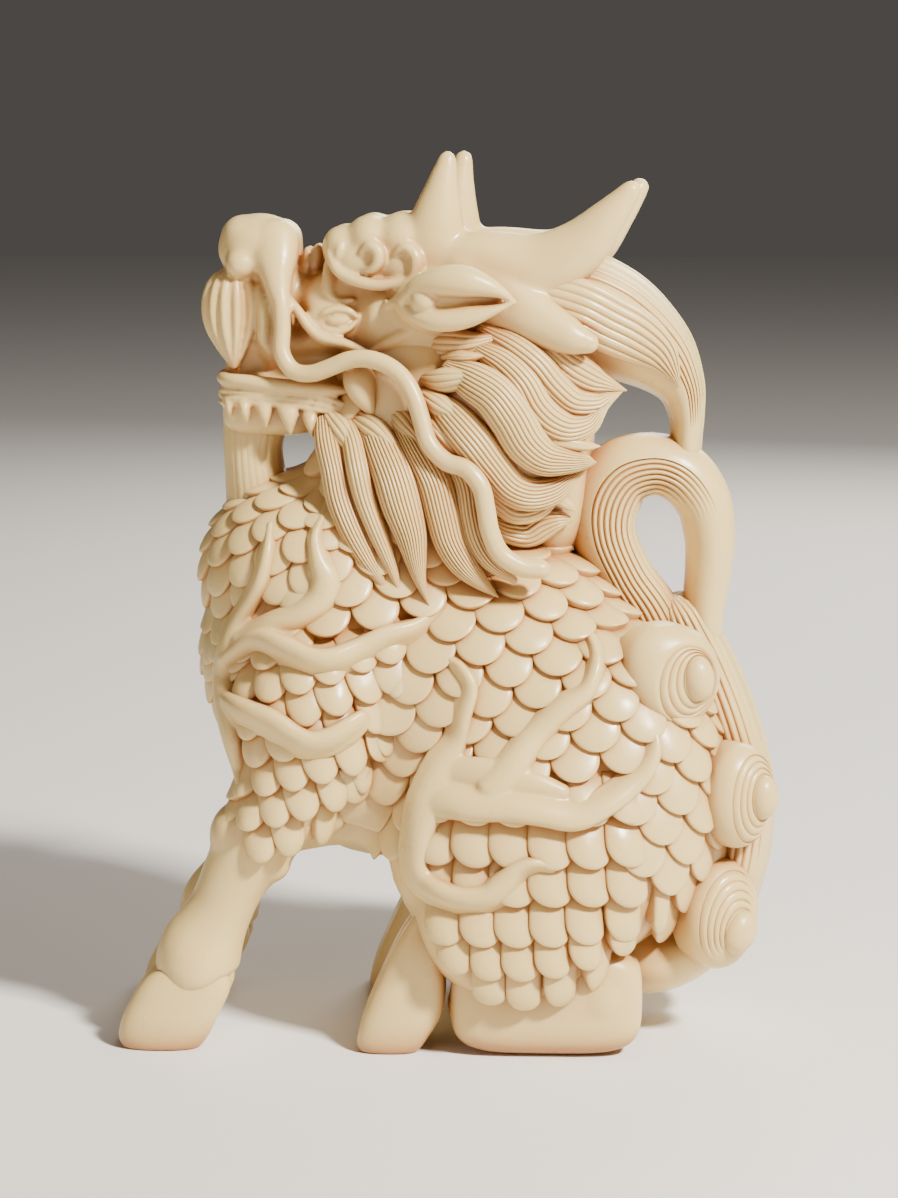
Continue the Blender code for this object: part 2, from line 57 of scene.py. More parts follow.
FAR_HORN_BACK = 1.0  # how far the right horn stands behind the left one
# Two cream tones for the resin, and a painted shade: the dark warm brown laid into hollows and creases where
# shade falls
CREAM, CREAM_DEEP, PAINTED_SHADE = (0.75, 0.58, 0.26, 1), (0.69, 0.51, 0.20, 1), (0.42, 0.19, 0.06, 1)
CHANCE = np.random.default_rng(7)  # the hand carver's unevenness
PER_STRAND = 7  # points across one strand of hair
POINT = (0.06, 0.2)  # the half width and half depth of a lock where it ends in a point


# ---- modelling tools


def outward(points, quads, triangles):
    """The form with its faces turned so that they point out."""
    halves = np.vstack([quads[:, [0, 1, 2]], quads[:, [0, 2, 3]], triangles])
    a, b, c = points[halves[:, 0]], points[halves[:, 1]], points[halves[:, 2]]
    if np.einsum("ij,ij->i", a, np.cross(b, c)).sum() < 0:
        quads, triangles = quads[:, ::-1], triangles[:, ::-1]
    return points, quads, triangles


def loft(rings, first, last):
    """A closed form through rings of points, from the pole first to the pole last."""
    rings = np.asarray(rings, float)
    count, sides = rings.shape[:2]
    spot = np.arange(count * sides).reshape(count, sides)
    after = np.roll(spot, -1, axis=1)
    quads = np.stack([spot[:-1], after[:-1], after[1:], spot[1:]], axis=-1).reshape(-1, 4)
    pole = np.full(sides, count * sides)
    caps = [np.stack([after[0], spot[0], pole], axis=1), np.stack([spot[-1], after[-1], pole + 1], axis=1)]
    return outward(np.vstack([rings.reshape(-1, 3), first, last]), quads, np.vstack(caps))


def curve_through(stations, steps):
    """Points on a Catmull-Rom curve through the stations, all their numbers together."""
    knots = np.array(stations, float)
    knots = np.vstack([2 * knots[0] - knots[1], knots, 2 * knots[-1] - knots[-2]])
    t = np.linspace(0, 1, steps, endpoint=False)[:, None]
    spans = [
        0.5 * (2 * b + (c - a) * t + (2 * a - 5 * b + 4 * c - d) * t**2 + (3 * b - a - 3 * c + d) * t**3)
        for a, b, c, d in zip(knots, knots[1:], knots[2:], knots[3:])
    ]
    return np.vstack([*spans, knots[-2:-1]])


def full_turn(sides):
    return np.linspace(0, 2 * pi, sides, endpoint=False)


def eased(values, power):
    """Numbers from -1 to 1, drawn towards those ends as power falls below 1."""
    return np.sign(values) * np.abs(values) ** power


def placed(form, centre, half, turned=np.eye(3)):
    """A form made round the origin within 1 of it, at its size, turned and in its place."""
    points, quads, triangles = form
    return np.array(centre, float) + points * np.array(half, float) @ np.array(turned).T, quads, triangles


def flutes(across, strands, groove):
    """How deep the grooves between so many round strands are, at places from -1 to 1 across a lock."""
    return groove * (np.abs(np.sin((across + 1) / 2 * strands * pi)) ** 0.75 - 1)


def sweep(stations, out=NEAR, sides=16, steps=5, strands=0, groove=0.25, blunt=0.15, side=(-1, 1), back=False,
          fade=None, crest=0.0):
    """A closed form through stations (x, y, z, half width, half depth), rounded over at both ends, its
    depth measured along out. Its outward face, and its back if asked, is fluted into strands on a stretch
    of its width, which fade out between two shares of its length. Its crest can be shifted sideways, as a
    share of its depth."""
    path = curve_through(stations, steps)
    centres, half = path[:, :3], np.maximum(path[:, 3:5], blunt)
    along = np.gradient(centres, axis=0)
    along /= np.linalg.norm(along, axis=1)[:, None]
    across = np.cross(along, np.broadcast_to(np.asarray(out, float), along.shape))
    across /= np.linalg.norm(across, axis=1)[:, None]
    outwards = np.cross(across, along)
    turn, flute = full_turn(sides), np.zeros(sides)
    if strands:
        face = np.arccos(np.linspace(1, -1, round(strands * PER_STRAND * 2 / min(side[1] - side[0], 2)) + 1))
        rest = 2 * pi - face[::-1] if back else np.linspace(pi, 2 * pi, 10)
        turn = np.concatenate([face, rest[1:-1]])
        spread = (np.cos(turn) - side[0]) / (side[1] - side[0]) * 2 - 1
        carved = (np.abs(np.sin(turn)) > 0.02) & (np.abs(spread) <= 1) & (back | (np.sin(turn) > 0))
        flute = np.where(carved, flutes(np.clip(spread, -1, 1), strands, groove), 0) * np.sign(np.sin(turn))
    shares, strength = np.linspace(0, 1, len(centres)), np.ones(len(centres))
    if fade:
        strength = np.clip((fade[1] - shares) / (fade[1] - fade[0]), 0, 1)
    first, last, ends = half[0].min(), half[-1].min(), np.radians([65, 40, 18])
    rings = [(centres[0] - first * sin(a) * along[0], cos(a), 0) for a in ends]
    rings += [(c, 1.0, i) for i, c in enumerate(centres)]
    rings += [(centres[-1] + last * sin(a) * along[-1], cos(a), -1) for a in ends[::-1]]
    shape = []
    for centre, shrink, i in rings:
        wide, deep = half[i] * shrink
        bite = min(1.0, wide / 1.2, deep) * shrink * strength[i]  # shallow where the form is thin
        ring = centre + np.outer(np.cos(turn) * wide, across[i])
        risen = np.sin(turn) * deep
        shape.append(ring + np.outer(risen + flute * bite, outwards[i]) + np.outer(risen * crest, across[i]))
    return loft(shape, centres[0] - first * along[0], centres[-1] + last * along[-1])


def globe(sides, power=1.0):
    """A ball, which turns into a rounded block as power falls below 1."""
    turn = full_turn(sides)
    along, across = eased(np.cos(turn), power), eased(np.sin(turn), power)
    rings = []
    for a in np.linspace(-pi / 2, pi / 2, sides // 2 + 1)[1:-1]:
        reach, level = eased(cos(a), power), eased(sin(a), power)
        rings.append(np.stack([reach * along, reach * across, np.full(sides, level)], 1))
    return loft(rings, (0, 0, -1), (0, 0, 1))


def ball(centre, radii, pitch=0.0, yaw=0.0):
    """An ellipsoid, pitched about the Y axis and then turned about Z, in degrees."""
    return placed(globe(28), centre, radii, Euler((0, radians(pitch), radians(yaw))).to_matrix())


def stack(sections, square):
    """A closed form lofted upwards through level ellipses (z, x, y, half length, half width), which turn into
    rounded rectangles as square falls below 1."""
    turn = full_turn(40)
    along, across = eased(np.cos(turn), square), eased(np.sin(turn), square)
    sections = curve_through(sections, 5)
    rings = [np.stack([x + long * along, y + wide * across, np.full(40, z)], 1)
             for z, x, y, long, wide in sections]
    (z0, x0, y0, _, _), (z1, x1, y1, _, _) = sections[0], sections[-1]
    return loft(rings, (x0, y0, z0), (x1, y1, z1))


def slab(centre, half, power):
    """A block with rounded edges and corners."""
    return placed(globe(40, power), centre, half)


def pillow(centre, radii, fullness=3.2):
    """A mass like an ellipsoid, but with flatter flanks."""
    turn = full_turn(36)
    shares = np.sin(np.linspace(0, pi / 2, 12))[1:]
    rings = [np.stack([share * np.cos(turn), np.full(36, -((1 - share**fullness) ** (1 / fullness))),
                       share * np.sin(turn)], 1) for share in shares]
    rings += [ring * (1, -1, 1) for ring in rings[-2::-1]]
    return placed(loft(rings, (0, -1, 0), (0, 1, 0)), centre, radii)


def reflected(forms):
    """The mirror image of each form on the figure's other side."""
    return [(points * (1, -1, 1), quads[:, ::-1], triangles[:, ::-1]) for points, quads, triangles in forms]


def both_sides(forms):
    return forms + reflected(forms)


def mesh_of(forms):
    """One mesh that holds all the forms."""
    starts = np.cumsum([0] + [len(points) for points, _, _ in forms])
    faces = []
    for kind in (1, 2):  # the quads, then the triangles
        for form, start in zip(forms, starts):
            faces += (form[kind] + start).tolist()
    mesh = bpy.data.meshes.new("form")
    mesh.from_pydata(np.vstack([points for points, _, _ in forms]), [], faces)
    return mesh


def linked(name, data):
    """An object with this data, in the scene."""
    obj = bpy.data.objects.new(name, data)
    bpy.context.scene.collection.objects.link(obj)
    return obj


def fused(forms, voxel, smoothing, kept=1.0):
    """The mesh of all the forms as one skin, their seams softened, with a share of its triangles kept."""
    obj = linked("form", mesh_of(forms))
    remesh = obj.modifiers.new("Remesh", "REMESH")
    remesh.mode, remesh.voxel_size, remesh.adaptivity = "VOXEL", voxel, 0.0
    smooth = obj.modifiers.new("Smooth", "SMOOTH")
    smooth.factor, smooth.iterations = 0.5, smoothing
    if kept < 1:
        obj.modifiers.new("Decimate", "DECIMATE").ratio = kept
    mesh = bpy.data.meshes.new_from_object(obj.evaluated_get(bpy.context.evaluated_depsgraph_get()))
    bpy.data.objects.remove(obj)
    return mesh


def form_of(mesh):
    """The form of a mesh made of quads."""
    points = np.array([v.co for v in mesh.vertices], float)
    return points, np.array([tuple(p.vertices) for p in mesh.polygons]), np.empty((0, 3), int)


def tree_of(mesh):
    """The mesh as rays can hit it."""
    return BVHTree.FromPolygons([v.co for v in mesh.vertices], [p.vertices for p in mesh.polygons])


def felt(surface, x, z):
    """Where the left flank is at a place of the side view, and which way it faces."""
    return surface.ray_cast(Vector((x, -FAR_AWAY, z)), Vector((0, 1, 0)))[:2]


def on_flank(surface, stations, rise):
    """Stations (x, z, half width, half depth) laid on the left flank, and raised off it. A bare (x, z) is the
    point that a lock ends in."""
    laid = []
    for x, z, *size in stations:
        hit, normal = felt(surface, x, z)
        if hit is None:
            hit = Vector((x, surface.find_nearest(Vector((x, -FAR_AWAY / 10, z)))[0].y, z))
            normal = Vector(NEAR)
        laid.append((*(hit + normal * rise), *(size or POINT)))
    return laid


def inside(x, z, outline):
    """Whether a point of the side view is inside an outline of (x, z) corners."""
    crossings = 0
    for (x0, z0), (x1, z1) in zip(outline, outline[1:] + outline[:1]):
        crossings += (z0 > z) != (z1 > z) and x < x0 + (z - z0) / (z1 - z0) * (x1 - x0)
    return crossings % 2 == 1


# ---- the masses under the carving


def trunk():
    return [
        ball((-8.7, 0, 36.4), (9.8, 8.5, 7.8)),  # breast
        ball((-6.8, 0, 30), (11.7, 10, 11.5)),  # chest
        ball((-4, 0, 22), (10, 8.5, 8.5)),  # belly
        ball((3, 0, 27), (13.5, 10.5, 12.5)),  # barrel
        ball((11, 0, 17.5), (10.5, 10, 13)),  # rump
        pillow((9.5, 0, 19.8), (12.2, 11.2, 14.4)),
        sweep([(-4, 0, 33, 10, 8.5), (-3.5, 0, 40, 8, 7.5), (-2, 0, 47, 7.2, 6.8), (-1, 0, 52, 7, 6.5)],
              sides=28),  # neck
    ]


def haunch():
    return [ball((7.3, -7.9, 16.6), (11.6, 5.1, 11), 8), pillow((5.9, -7.7, 11.3), (7.9, 5.1, 7.3), 3.6)]


def upper_foreleg():
    return [
        ball((-9.6, -6.3, 26.5), (6.2, 5.2, 8.5), 12),
        sweep([(-9.2, -7.4, 25, 5, 4), (-11.5, -7.5, 20, 3.7, 3.6), (-13.9, -7.5, 16.6, 3, 2.9)], sides=24),
    ]


def mane_core():
    """What the mane grows on, behind the jaw."""
    return [
        ball((4.2, 0, 48.3), (7.7, 8.4, 9.3)),
        ball((8, 0, 52.6), (4.4, 6.2, 5)),
        ball((8.3, 0, 43), (3.3, 4.8, 6)),
    ]


# ---- scales

RINGS = np.array((0.45, 0.80, 0.93, 0.985, 1, 0.88))  # from a scale's middle out to its rim, and under it
RIM_DROP = np.array((0, 0, 0.02, 0.07, 0.18))  # how the rim rounds over
PROBE, REACH = 4.0, 9.0  # how far above a scale the rays start that feel the surface, and how far they go
SUNK = 0.05  # how deep a scale's root lies in the surface


def scale(surface, tip, normal, down, wide, long, lift, dome, skew=0.0, ends=(1, 1), tilt=0.0):
    """A tongue that rises out of the surface from its root to its free tip. It can be skewed and tilted
    sideways. Its left and right corners are as round as ends says, in half widths."""
    normal, down = np.array(normal, float), np.array(down, float)
    down -= normal * (down @ normal)
    down /= np.linalg.norm(down)
    across = np.cross(down, normal)
    centre = np.array(tip, float) - down * long / 2
    half = wide / 2
    rows, heights = [], []
    for s in (-0.8 * half, 0, 0.8 * half):
        for t in (-long / 2, 0, long / 2):
            start = Vector(centre + across * s + down * t + normal * PROBE)
            hit = surface.ray_cast(start, Vector(-normal), REACH)[0]
            if hit is not None:
                rows.append((1, s, t, s * s, s * t, t * t))
                heights.append((np.array(hit) - centre) @ normal)
    if len(rows) < 7:  # too much of it would hang free
        return []
    bend = np.linalg.lstsq(np.array(rows), np.array(heights), rcond=None)[0]
    free = np.linspace(0, pi, 21)
    turn, rise = np.cos(free), np.sin(free)
    peak = skew * half
    s = np.where(turn > 0, peak + (half - peak) * turn, peak + (half + peak) * turn)
    corner = np.where(turn > 0, ends[1], ends[0]) * half
    t = long / 2 - corner * (1 - rise)
    root = np.array([(-1, -0.1), (-0.92, -0.5), (0, -0.5), (0.92, -0.5), (1, -0.1)]) * (half, long)
    rim = np.vstack([np.stack([s, t], 1), root])
    middle = np.array((0.0, 0.05 * long))

    def raised(flat, height):
        s, t = flat[:, 0], flat[:, 1]
        base = np.stack([s**0, s, t, s * s, s * t, t * t], 1) @ bend
        return centre + np.outer(s, across) + np.outer(t, down) + np.outer(base + height, normal)

    rings = []
    for share, drop in zip(RINGS[:-1], RIM_DROP):
        flat = middle + (rim - middle) * share
        slope = lift * (flat[:, 1] / long + 0.5) + tilt * flat[:, 0] / half
        rings.append(raised(flat, slope + dome * (1 - share**2) - drop - SUNK))
    rings.append(raised(middle + (rim - middle) * RINGS[-1], -0.45))  # its underside
    top = raised(middle[None], lift * 0.55 + dome - SUNK)
    return [loft(rings, top, raised(middle[None], -0.4))]


def uneven(value):
    return value * (1 + CHANCE.uniform(-0.04, 0.04))


def rows_around(surface, origin, lean, pitch, span, wide, long, sector, keep, **shape):
    """Staggered rows of scales on contours square to an axis, which passes through origin (x, z) and leans
    back by so many degrees as it goes down. One tip lies beside the origin on the left flank, where the
    sector's 0 is; 90 degrees look along +X."""
    turn = radians(lean)
    down = np.array((sin(turn), 0, -cos(turn)))
    level = np.array((cos(turn), 0, sin(turn)))
    plates = []
    for row in range(span[0], span[1] + 1):
        centre = np.array((origin[0], 0, origin[1])) + down * pitch * row
        hits = []
        for angle in np.radians(np.arange(sector[0], sector[1] + 1, 3.0)):
            ray = NEAR * cos(angle) + level * sin(angle)
            hit, normal, _, _ = surface.ray_cast(Vector(centre + ray * FAR_AWAY), Vector(-ray), FAR_AWAY)
            if hit is not None:
                hits.append((*hit, *normal, angle))
        if len(hits) < 6:
            continue
        hits = np.array(hits)
        arc = np.concatenate([[0], np.cumsum(np.linalg.norm(np.diff(hits[:, :3], axis=0), axis=1))])
        arc -= np.interp(0, hits[:, 6], arc)
        for spot in (np.arange(-30, 31) + row % 2 / 2) * wide:
            x, y, z, *normal = (np.interp(spot, arc, column) for column in hits.T[:6])
            if arc[0] < spot < arc[-1] and y < 0.3 and keep((x, y, z)):
                normal = np.array(normal) / np.linalg.norm(normal)
                plates += scale(surface, (x, y, z), normal, down, uneven(wide), uneven(long), **shape)
    return plates


def laid_scales(surface, tips, down, **shape):
    """Scales on the left flank with their tips at these places (x, z, width, length) of the side view."""
    plates = []
    for x, z, wide, long in tips:
        hit, normal = felt(surface, x, z)
        if hit is not None:
            plates += scale(surface, hit, normal, down, uneven(wide), uneven(long), **shape)
    return plates


def chest_side(tip):
    """Whether a tip is on the breast, in front of the shoulder's flames and up to the beard."""
    x, _, z = tip
    return z > 21.5 and x < np.interp(z, (27, 31, 33.5, 36, 41, 46), (-15.5, -14.6, -12.6, -9.6, -8.6, -7))


ARM = [(-16.6, 30), (-15, 31.5), (-11.4, 31), (-8.3, 31), (-5, 32), (-2.4, 31.8), (-2.1, 29), (-3.2, 26.1),
       (-4.1, 23.8), (-4.9, 21), (-5.9, 18.4), (-7.4, 16.6), (-9.8, 14.9), (-11.6, 14.7), (-13.4, 15.4),
       (-14.4, 18), (-15.6, 22)]
THIGH = [(-2, 17), (0.5, 20.5), (9, 20.6), (14.2, 21), (15, 17), (15.8, 13), (16.4, 8.6), (13.8, 8.4),
         (10.6, 4.6), (4.5, 4.4), (0.4, 7.6), (-2.6, 12.6)]


def flank_side(tip):
    x, _, z = tip
    lowest = np.interp(x, (-8, -3, 0.5, 1), (16.5, 14, 13, 9))
    return z > lowest and not (chest_side(tip) or inside(x, z, ARM) or inside(x, z, THIGH))


def between_forelegs(tip):
    """Whether a tip is on the lower breast, which the leaning rows don't reach."""
    x, y, z = tip
    return z < 31.9 and x < -10 and y > np.interp(z, (22, 27, 30, 32), (-2.2, -4.4, -5.5, -6.5))


def chest_scales(surface):
    plates = []
    for place, lean, rows, sector, keep in (((-13.6, 39.3), -27, (-6, 14), (-96, 30), chest_side),
                                            ((-8, 31.6), 0, (0, 9), (-96, -20), between_forelegs)):
        plates += rows_around(surface, place, lean, 1.75, rows, 3.1, 4.3, sector, keep, lift=1.1, dome=0.22,
                              ends=(1.1, 1.1))
    return plates


def flank_scales(surface):
    return rows_around(surface, (4.9, 32.75), 10, 1.93, (-6, 14), 3.75, 4.3, (-80, 96), flank_side,
                       lift=1.3, dome=0.26)


def arm_scales(surface):
    """Plump scales in leaning columns from shoulder to knee, and small pointed ones along the flank."""
    tips = []
    first, downwards, backwards = (np.array(v) for v in ((-7.6, 27), (0.42, -2.2), (2.12, 0.7)))
    for row in range(-2, 7):
        grown = 1 - 0.03 * row
        for column in range(-6, 5):
            x, z = first + downwards * row + backwards * column * grown
            if inside(x, z, ARM):
                tips.append((x, z, 2.95 * grown, 3.6 * grown))
    gaps = [(-2.9, 28.1, 2.1, 3), (-3.8, 26.1, 2, 3), (-4.7, 23.8, 2, 2.9), (-6, 21, 1.8, 2.6)]
    down = (0.19, 0, -1.0)
    plump = laid_scales(surface, tips, down, lift=1.15, dome=0.36, ends=(1.25, 1.3), skew=-0.05, tilt=0.2)
    return plump + laid_scales(surface, gaps, down, lift=1.4, dome=0.3, ends=(2.2, 2.2), skew=0.1)


THIGH_ROWS = (  # first tip, spacing, number, height of the tips, where the row hangs lowest, how it bows
    (-0.2, 2.84, 6, 18.9, 8, 0),
    (-0.1, 2.82, 6, 15.8, 8, 0),
    (-0.1, 2.82, 6, 12.8, 8, 0),
    (0.6, 2.58, 7, 9.7, 5, 0.006),
    (1.5, 2.34, 6, 7.2, 5.5, 0.030),
    (4.1, 2.34, 4, 5.2, 6.6, 0.060),
)


def thigh_scales(surface):
    """Square-set scales, whose lower rows hang in arcs over the hock."""
    tips = []
    for first, spacing, number, height, lowest, bow in THIGH_ROWS:
        for x in first + spacing * np.arange(number):
            z = height + bow * (x - lowest) ** 2
            tips.append((x, z, spacing * (1.18 if x < 15 else 0.7), 4.0))
    return laid_scales(surface, tips, -UP, lift=1.35, dome=0.46, ends=(0.55, 1.15), skew=-0.3, tilt=0.24)


# ---- flame scrolls


def bands(surface, lines, rise=0.55, crest=0.0):
    """Rounded bands on the flank, each with a low skirt that eases it into what lies around it."""
    forms = []
    for line in lines:
        skirt = [(x, z, wide + 0.2, 0.6) for x, z, wide, _ in line]
        forms.append(sweep(on_flank(surface, line, rise), sides=18, steps=6, crest=crest))
        forms.append(sweep(on_flank(surface, skirt, 0.45), steps=6))
    return forms


def shoulder_scroll(surface):
    up, down = [
        [(-12.8, 40.4, 0.2, 0.5), (-12.9, 38.6, 0.55, 0.9), (-13.3, 36.8, 0.7, 1.1), (-14.2, 35, 0.75, 1.2),
         (-15, 33.2, 0.85, 1.2), (-15.6, 31.2, 1.1, 1.2), (-16, 29, 1.15, 1.2), (-15.6, 26.6, 1.15, 1.2),
         (-15.2, 24.4, 0.85, 1), (-14.9, 22.4, 0.55, 0.6), (-14.6, 20.6, 0.3, 0.4)],
        [(-8.8, 41.3, 0.25, 0.5), (-9.4, 39.8, 0.5, 0.9), (-9.1, 38.2, 0.8, 1.1), (-8.6, 36.8, 1.2, 1.2),
         (-8.9, 35.2, 1.2, 1.2), (-10.4, 33.9, 1.1, 1.2), (-12.4, 33, 1.1, 1.2), (-14.6, 31.8, 1.1, 1.2)],
    ], [
        [(-15.6, 30.3, 0.9, 1.2), (-13.5, 31.7, 1, 1.4), (-11.7, 31.5, 1.1, 1.5), (-9.7, 30.8, 1.1, 1.5),
         (-8, 30.8, 1.05, 1.5), (-5.9, 31.6, 1, 1.4), (-4, 32.5, 0.9, 1.3), (-1.9, 33, 0.75, 1.1),
         (-0.1, 34.2, 0.2, 0.5)],
        [(-15.6, 26.9, 1, 1.2), (-14.3, 26.7, 1.15, 1.4), (-12.5, 26.3, 1.1, 1.5), (-10.8, 25.2, 1.1, 1.5),
         (-9.6, 24.8, 1.05, 1.5), (-8.2, 25.1, 1, 1.4), (-6.9, 25.9, 0.9, 1.3), (-6.1, 26.5, 0.7, 1.1)],
    ]
    return bands(surface, up) + bands(surface, down, 0.5, -0.45)


def haunch_scroll(surface):
    crests = (-0.35, 0.3, 0)
    lines = [
        [(0.9, 30.9, 0.2, 0.5), (1.6, 30.2, 0.55, 0.9), (2.2, 29, 0.7, 1.2), (1.7, 27, 0.75, 1.2),
         (1.3, 25, 0.9, 1.2), (0.3, 22.8, 1.3, 1.2), (-0.7, 20.2, 1.5, 1.3), (-1.4, 17.8, 1.2, 1.4),
         (-1.6, 15.6, 1.05, 1.4), (-0.7, 14.1, 1.1, 1.3), (0.6, 13.4, 1.05, 1.3), (2.2, 13.2, 1.05, 1.3),
         (3.9, 13.5, 1.1, 1.3), (5.1, 14.5, 1.15, 1.3), (6.2, 15.7, 0.8, 1.2), (7.4, 16.1, 0.55, 1.1),
         (8.6, 15.8, 0.2, 0.6)],
        [(-0.6, 20.2, 1.3, 1.1), (0.9, 20.6, 1.4, 1.3), (2.8, 20.5, 1.3, 1.5), (5.4, 20.5, 1.2, 1.5),
         (7.8, 20.2, 1.15, 1.5), (10.2, 19.8, 1.1, 1.5), (12.3, 20.6, 1, 1.4), (14.2, 21.9, 0.95, 1.3),
         (15.5, 23.3, 0.8, 1.1), (16, 24.7, 0.55, 0.8), (15.9, 26, 0.2, 0.4)],
        [(4.2, 21.4, 1.5, 1.1), (5.8, 23.4, 1.3, 1.2), (7.4, 25.5, 1.15, 1.2), (9.3, 27.4, 1, 1.2),
         (11, 28.6, 0.8, 1.1), (11.7, 30.1, 0.65, 1), (11.7, 31.4, 0.5, 0.8), (11, 32.6, 0.2, 0.4)],
    ]
    webs = [
        [(1, 22.4, 1.4, 0.7), (3.2, 22.3, 1.6, 0.8), (5.4, 22.2, 1.5, 0.8)],
        [(5.4, 22, 1.3, 0.8), (7.4, 21.8, 1.1, 0.8), (9.2, 21.4, 0.7, 0.7)],
    ]
    forms = [form for crest, line in zip(crests, lines) for form in bands(surface, [line], crest=crest)]
    return forms + [sweep(on_flank(surface, web, 0.5), steps=6) for web in webs]


# ---- legs


def lower_foreleg():
    """The shank from the knee down to the swollen cuff that laps over the hoof."""
    shank = [(-12.4, -7.5, 19.4, 3.2, 3), (-14.2, -7.5, 16.4, 3.2, 3), (-15.9, -7.5, 13.4, 2.65, 2.6),
             (-16.9, -7.4, 11.2, 2.5, 2.45), (-17.7, -7.35, 9.6, 2.75, 2.6), (-18.4, -7.3, 8.2, 3.15, 3.1),
             (-18.85, -7.3, 7, 3.3, 3.4), (-18.95, -7.3, 5.9, 3.1, 3.45), (-18.8, -7.3, 5, 2.4, 3),
             (-18.7, -7.3, 4.6, 1.2, 1.6)]
    return [
        sweep(shank, sides=32, steps=8),
        ball((-15.6, -7.7, 17), (2.2, 2.4, 2.6), 20),  # knee
        ball((-13.2, -7.6, 14.7), (1.7, 2.1, 1.7)),  # elbow side of the knee
    ]


def toes(middle, apart, sections, square):
    """A cloven hoof: two toes side by side, through level ellipses (z, x, half length, half width)."""
    return [stack([(z, x, middle + toe * apart, long, wide) for z, x, long, wide in sections], square)
            for toe in (-1, 1)]


def fore_hoof():
    sections = [(0.25, -21.6, 2.75, 1.35), (0.45, -21.6, 3.15, 1.65), (1.3, -21.4, 3.55, 1.8),
                (2.9, -20.8, 3.7, 1.8), (4.8, -19.85, 3.6, 1.65), (6, -19.4, 2.95, 1.3),
                (6.6, -19.2, 1.9, 0.9)]
    return toes(-7.35, 1.5, sections, 0.82)


def hind_hoof():
    sections = [(0.25, -3.9, 2, 1.1), (0.5, -3.9, 2.4, 1.4), (1.4, -3.6, 2.75, 1.6), (3.4, -2.75, 3, 1.7),
                (6.1, -2.1, 2.5, 1.6), (8.8, -1.6, 1.75, 1.4), (10.8, -0.9, 1.2, 1), (12, -0.5, 0.8, 0.7)]
    return toes(-8.2, 1.2, sections, 0.75)


def hind_foot():
    """Hock and cannon, folded flat on the ground, rounder at the front."""
    return [
        slab((8.2, -8.7, 4.47), (7.4, 3, 4.2), 0.48),
        ball((4, -8.6, 3.6), (3.5, 2.9, 3), 12),
        ball((12.3, -8.8, 4.9), (3, 3.1, 3.8)),
    ]


# ---- tail


def tail_loop():
    """The tail rises from the rump and turns back down, grooved along the inner side of the turn."""
    route = [(17.2, 0, 29, 3.4, 3.3), (15.7, 0, 33, 2.8, 3.5), (13.9, 0, 36, 2.45, 3.5),
             (12.5, 0, 39.2, 2.6, 3.5), (12.5, 0, 42, 2.9, 3.5), (13.9, 0, 44.1, 2.75, 3.4),
             (16.4, 0, 44.8, 2.45, 3.2), (18.6, 0, 44, 2.4, 3.1), (20.2, 0, 41.9, 2.2, 3),
             (20.75, 0, 39.2, 2, 2.9), (20.7, 0, 36.8, 1.85, 2.7), (20.4, 0, 34, 1.7, 2.5),
             (20.2, 0, 31, 1.6, 2.3)]
    return [sweep(route, steps=10, strands=8, groove=0.32, side=(-0.3, 1.02), back=True, fade=(0.55, 0.70))]


def ridged_back(route, out, share, strands, swell, **shape):
    """Strands along the outer edge of a form on the middle plane, swept with their width across."""
    turned = [(x, y, z, deep * share, wide + swell) for x, y, z, wide, deep in route]
    return sweep(turned, out=out, strands=strands, **shape)


def tail_plume():
    route = [(18.6, 0, 32.5, 2.2, 3.4), (20.5, 0, 28.5, 2.5, 4), (22.1, 0, 24, 2.7, 4.6),
             (23.2, 0, 19, 2.8, 5), (22.9, 0, 14, 2.8, 5.5), (20.9, 0, 8.8, 3, 6), (17, 0, 6.2, 3.4, 6.5),
             (11, 0, 7.4, 4.2, 6.3)]
    return [
        sweep(route, steps=12, strands=9, groove=0.26, back=True, fade=(0.52, 0.66)),
        ridged_back(route, (1, 0, -1), 0.68, 9, 0.18, groove=0.22, steps=8, fade=(0.7, 0.9)),
        ball((20, 0, 15), (3, 7.2, 8)),
    ]


COIL_DEPTH = 0.17


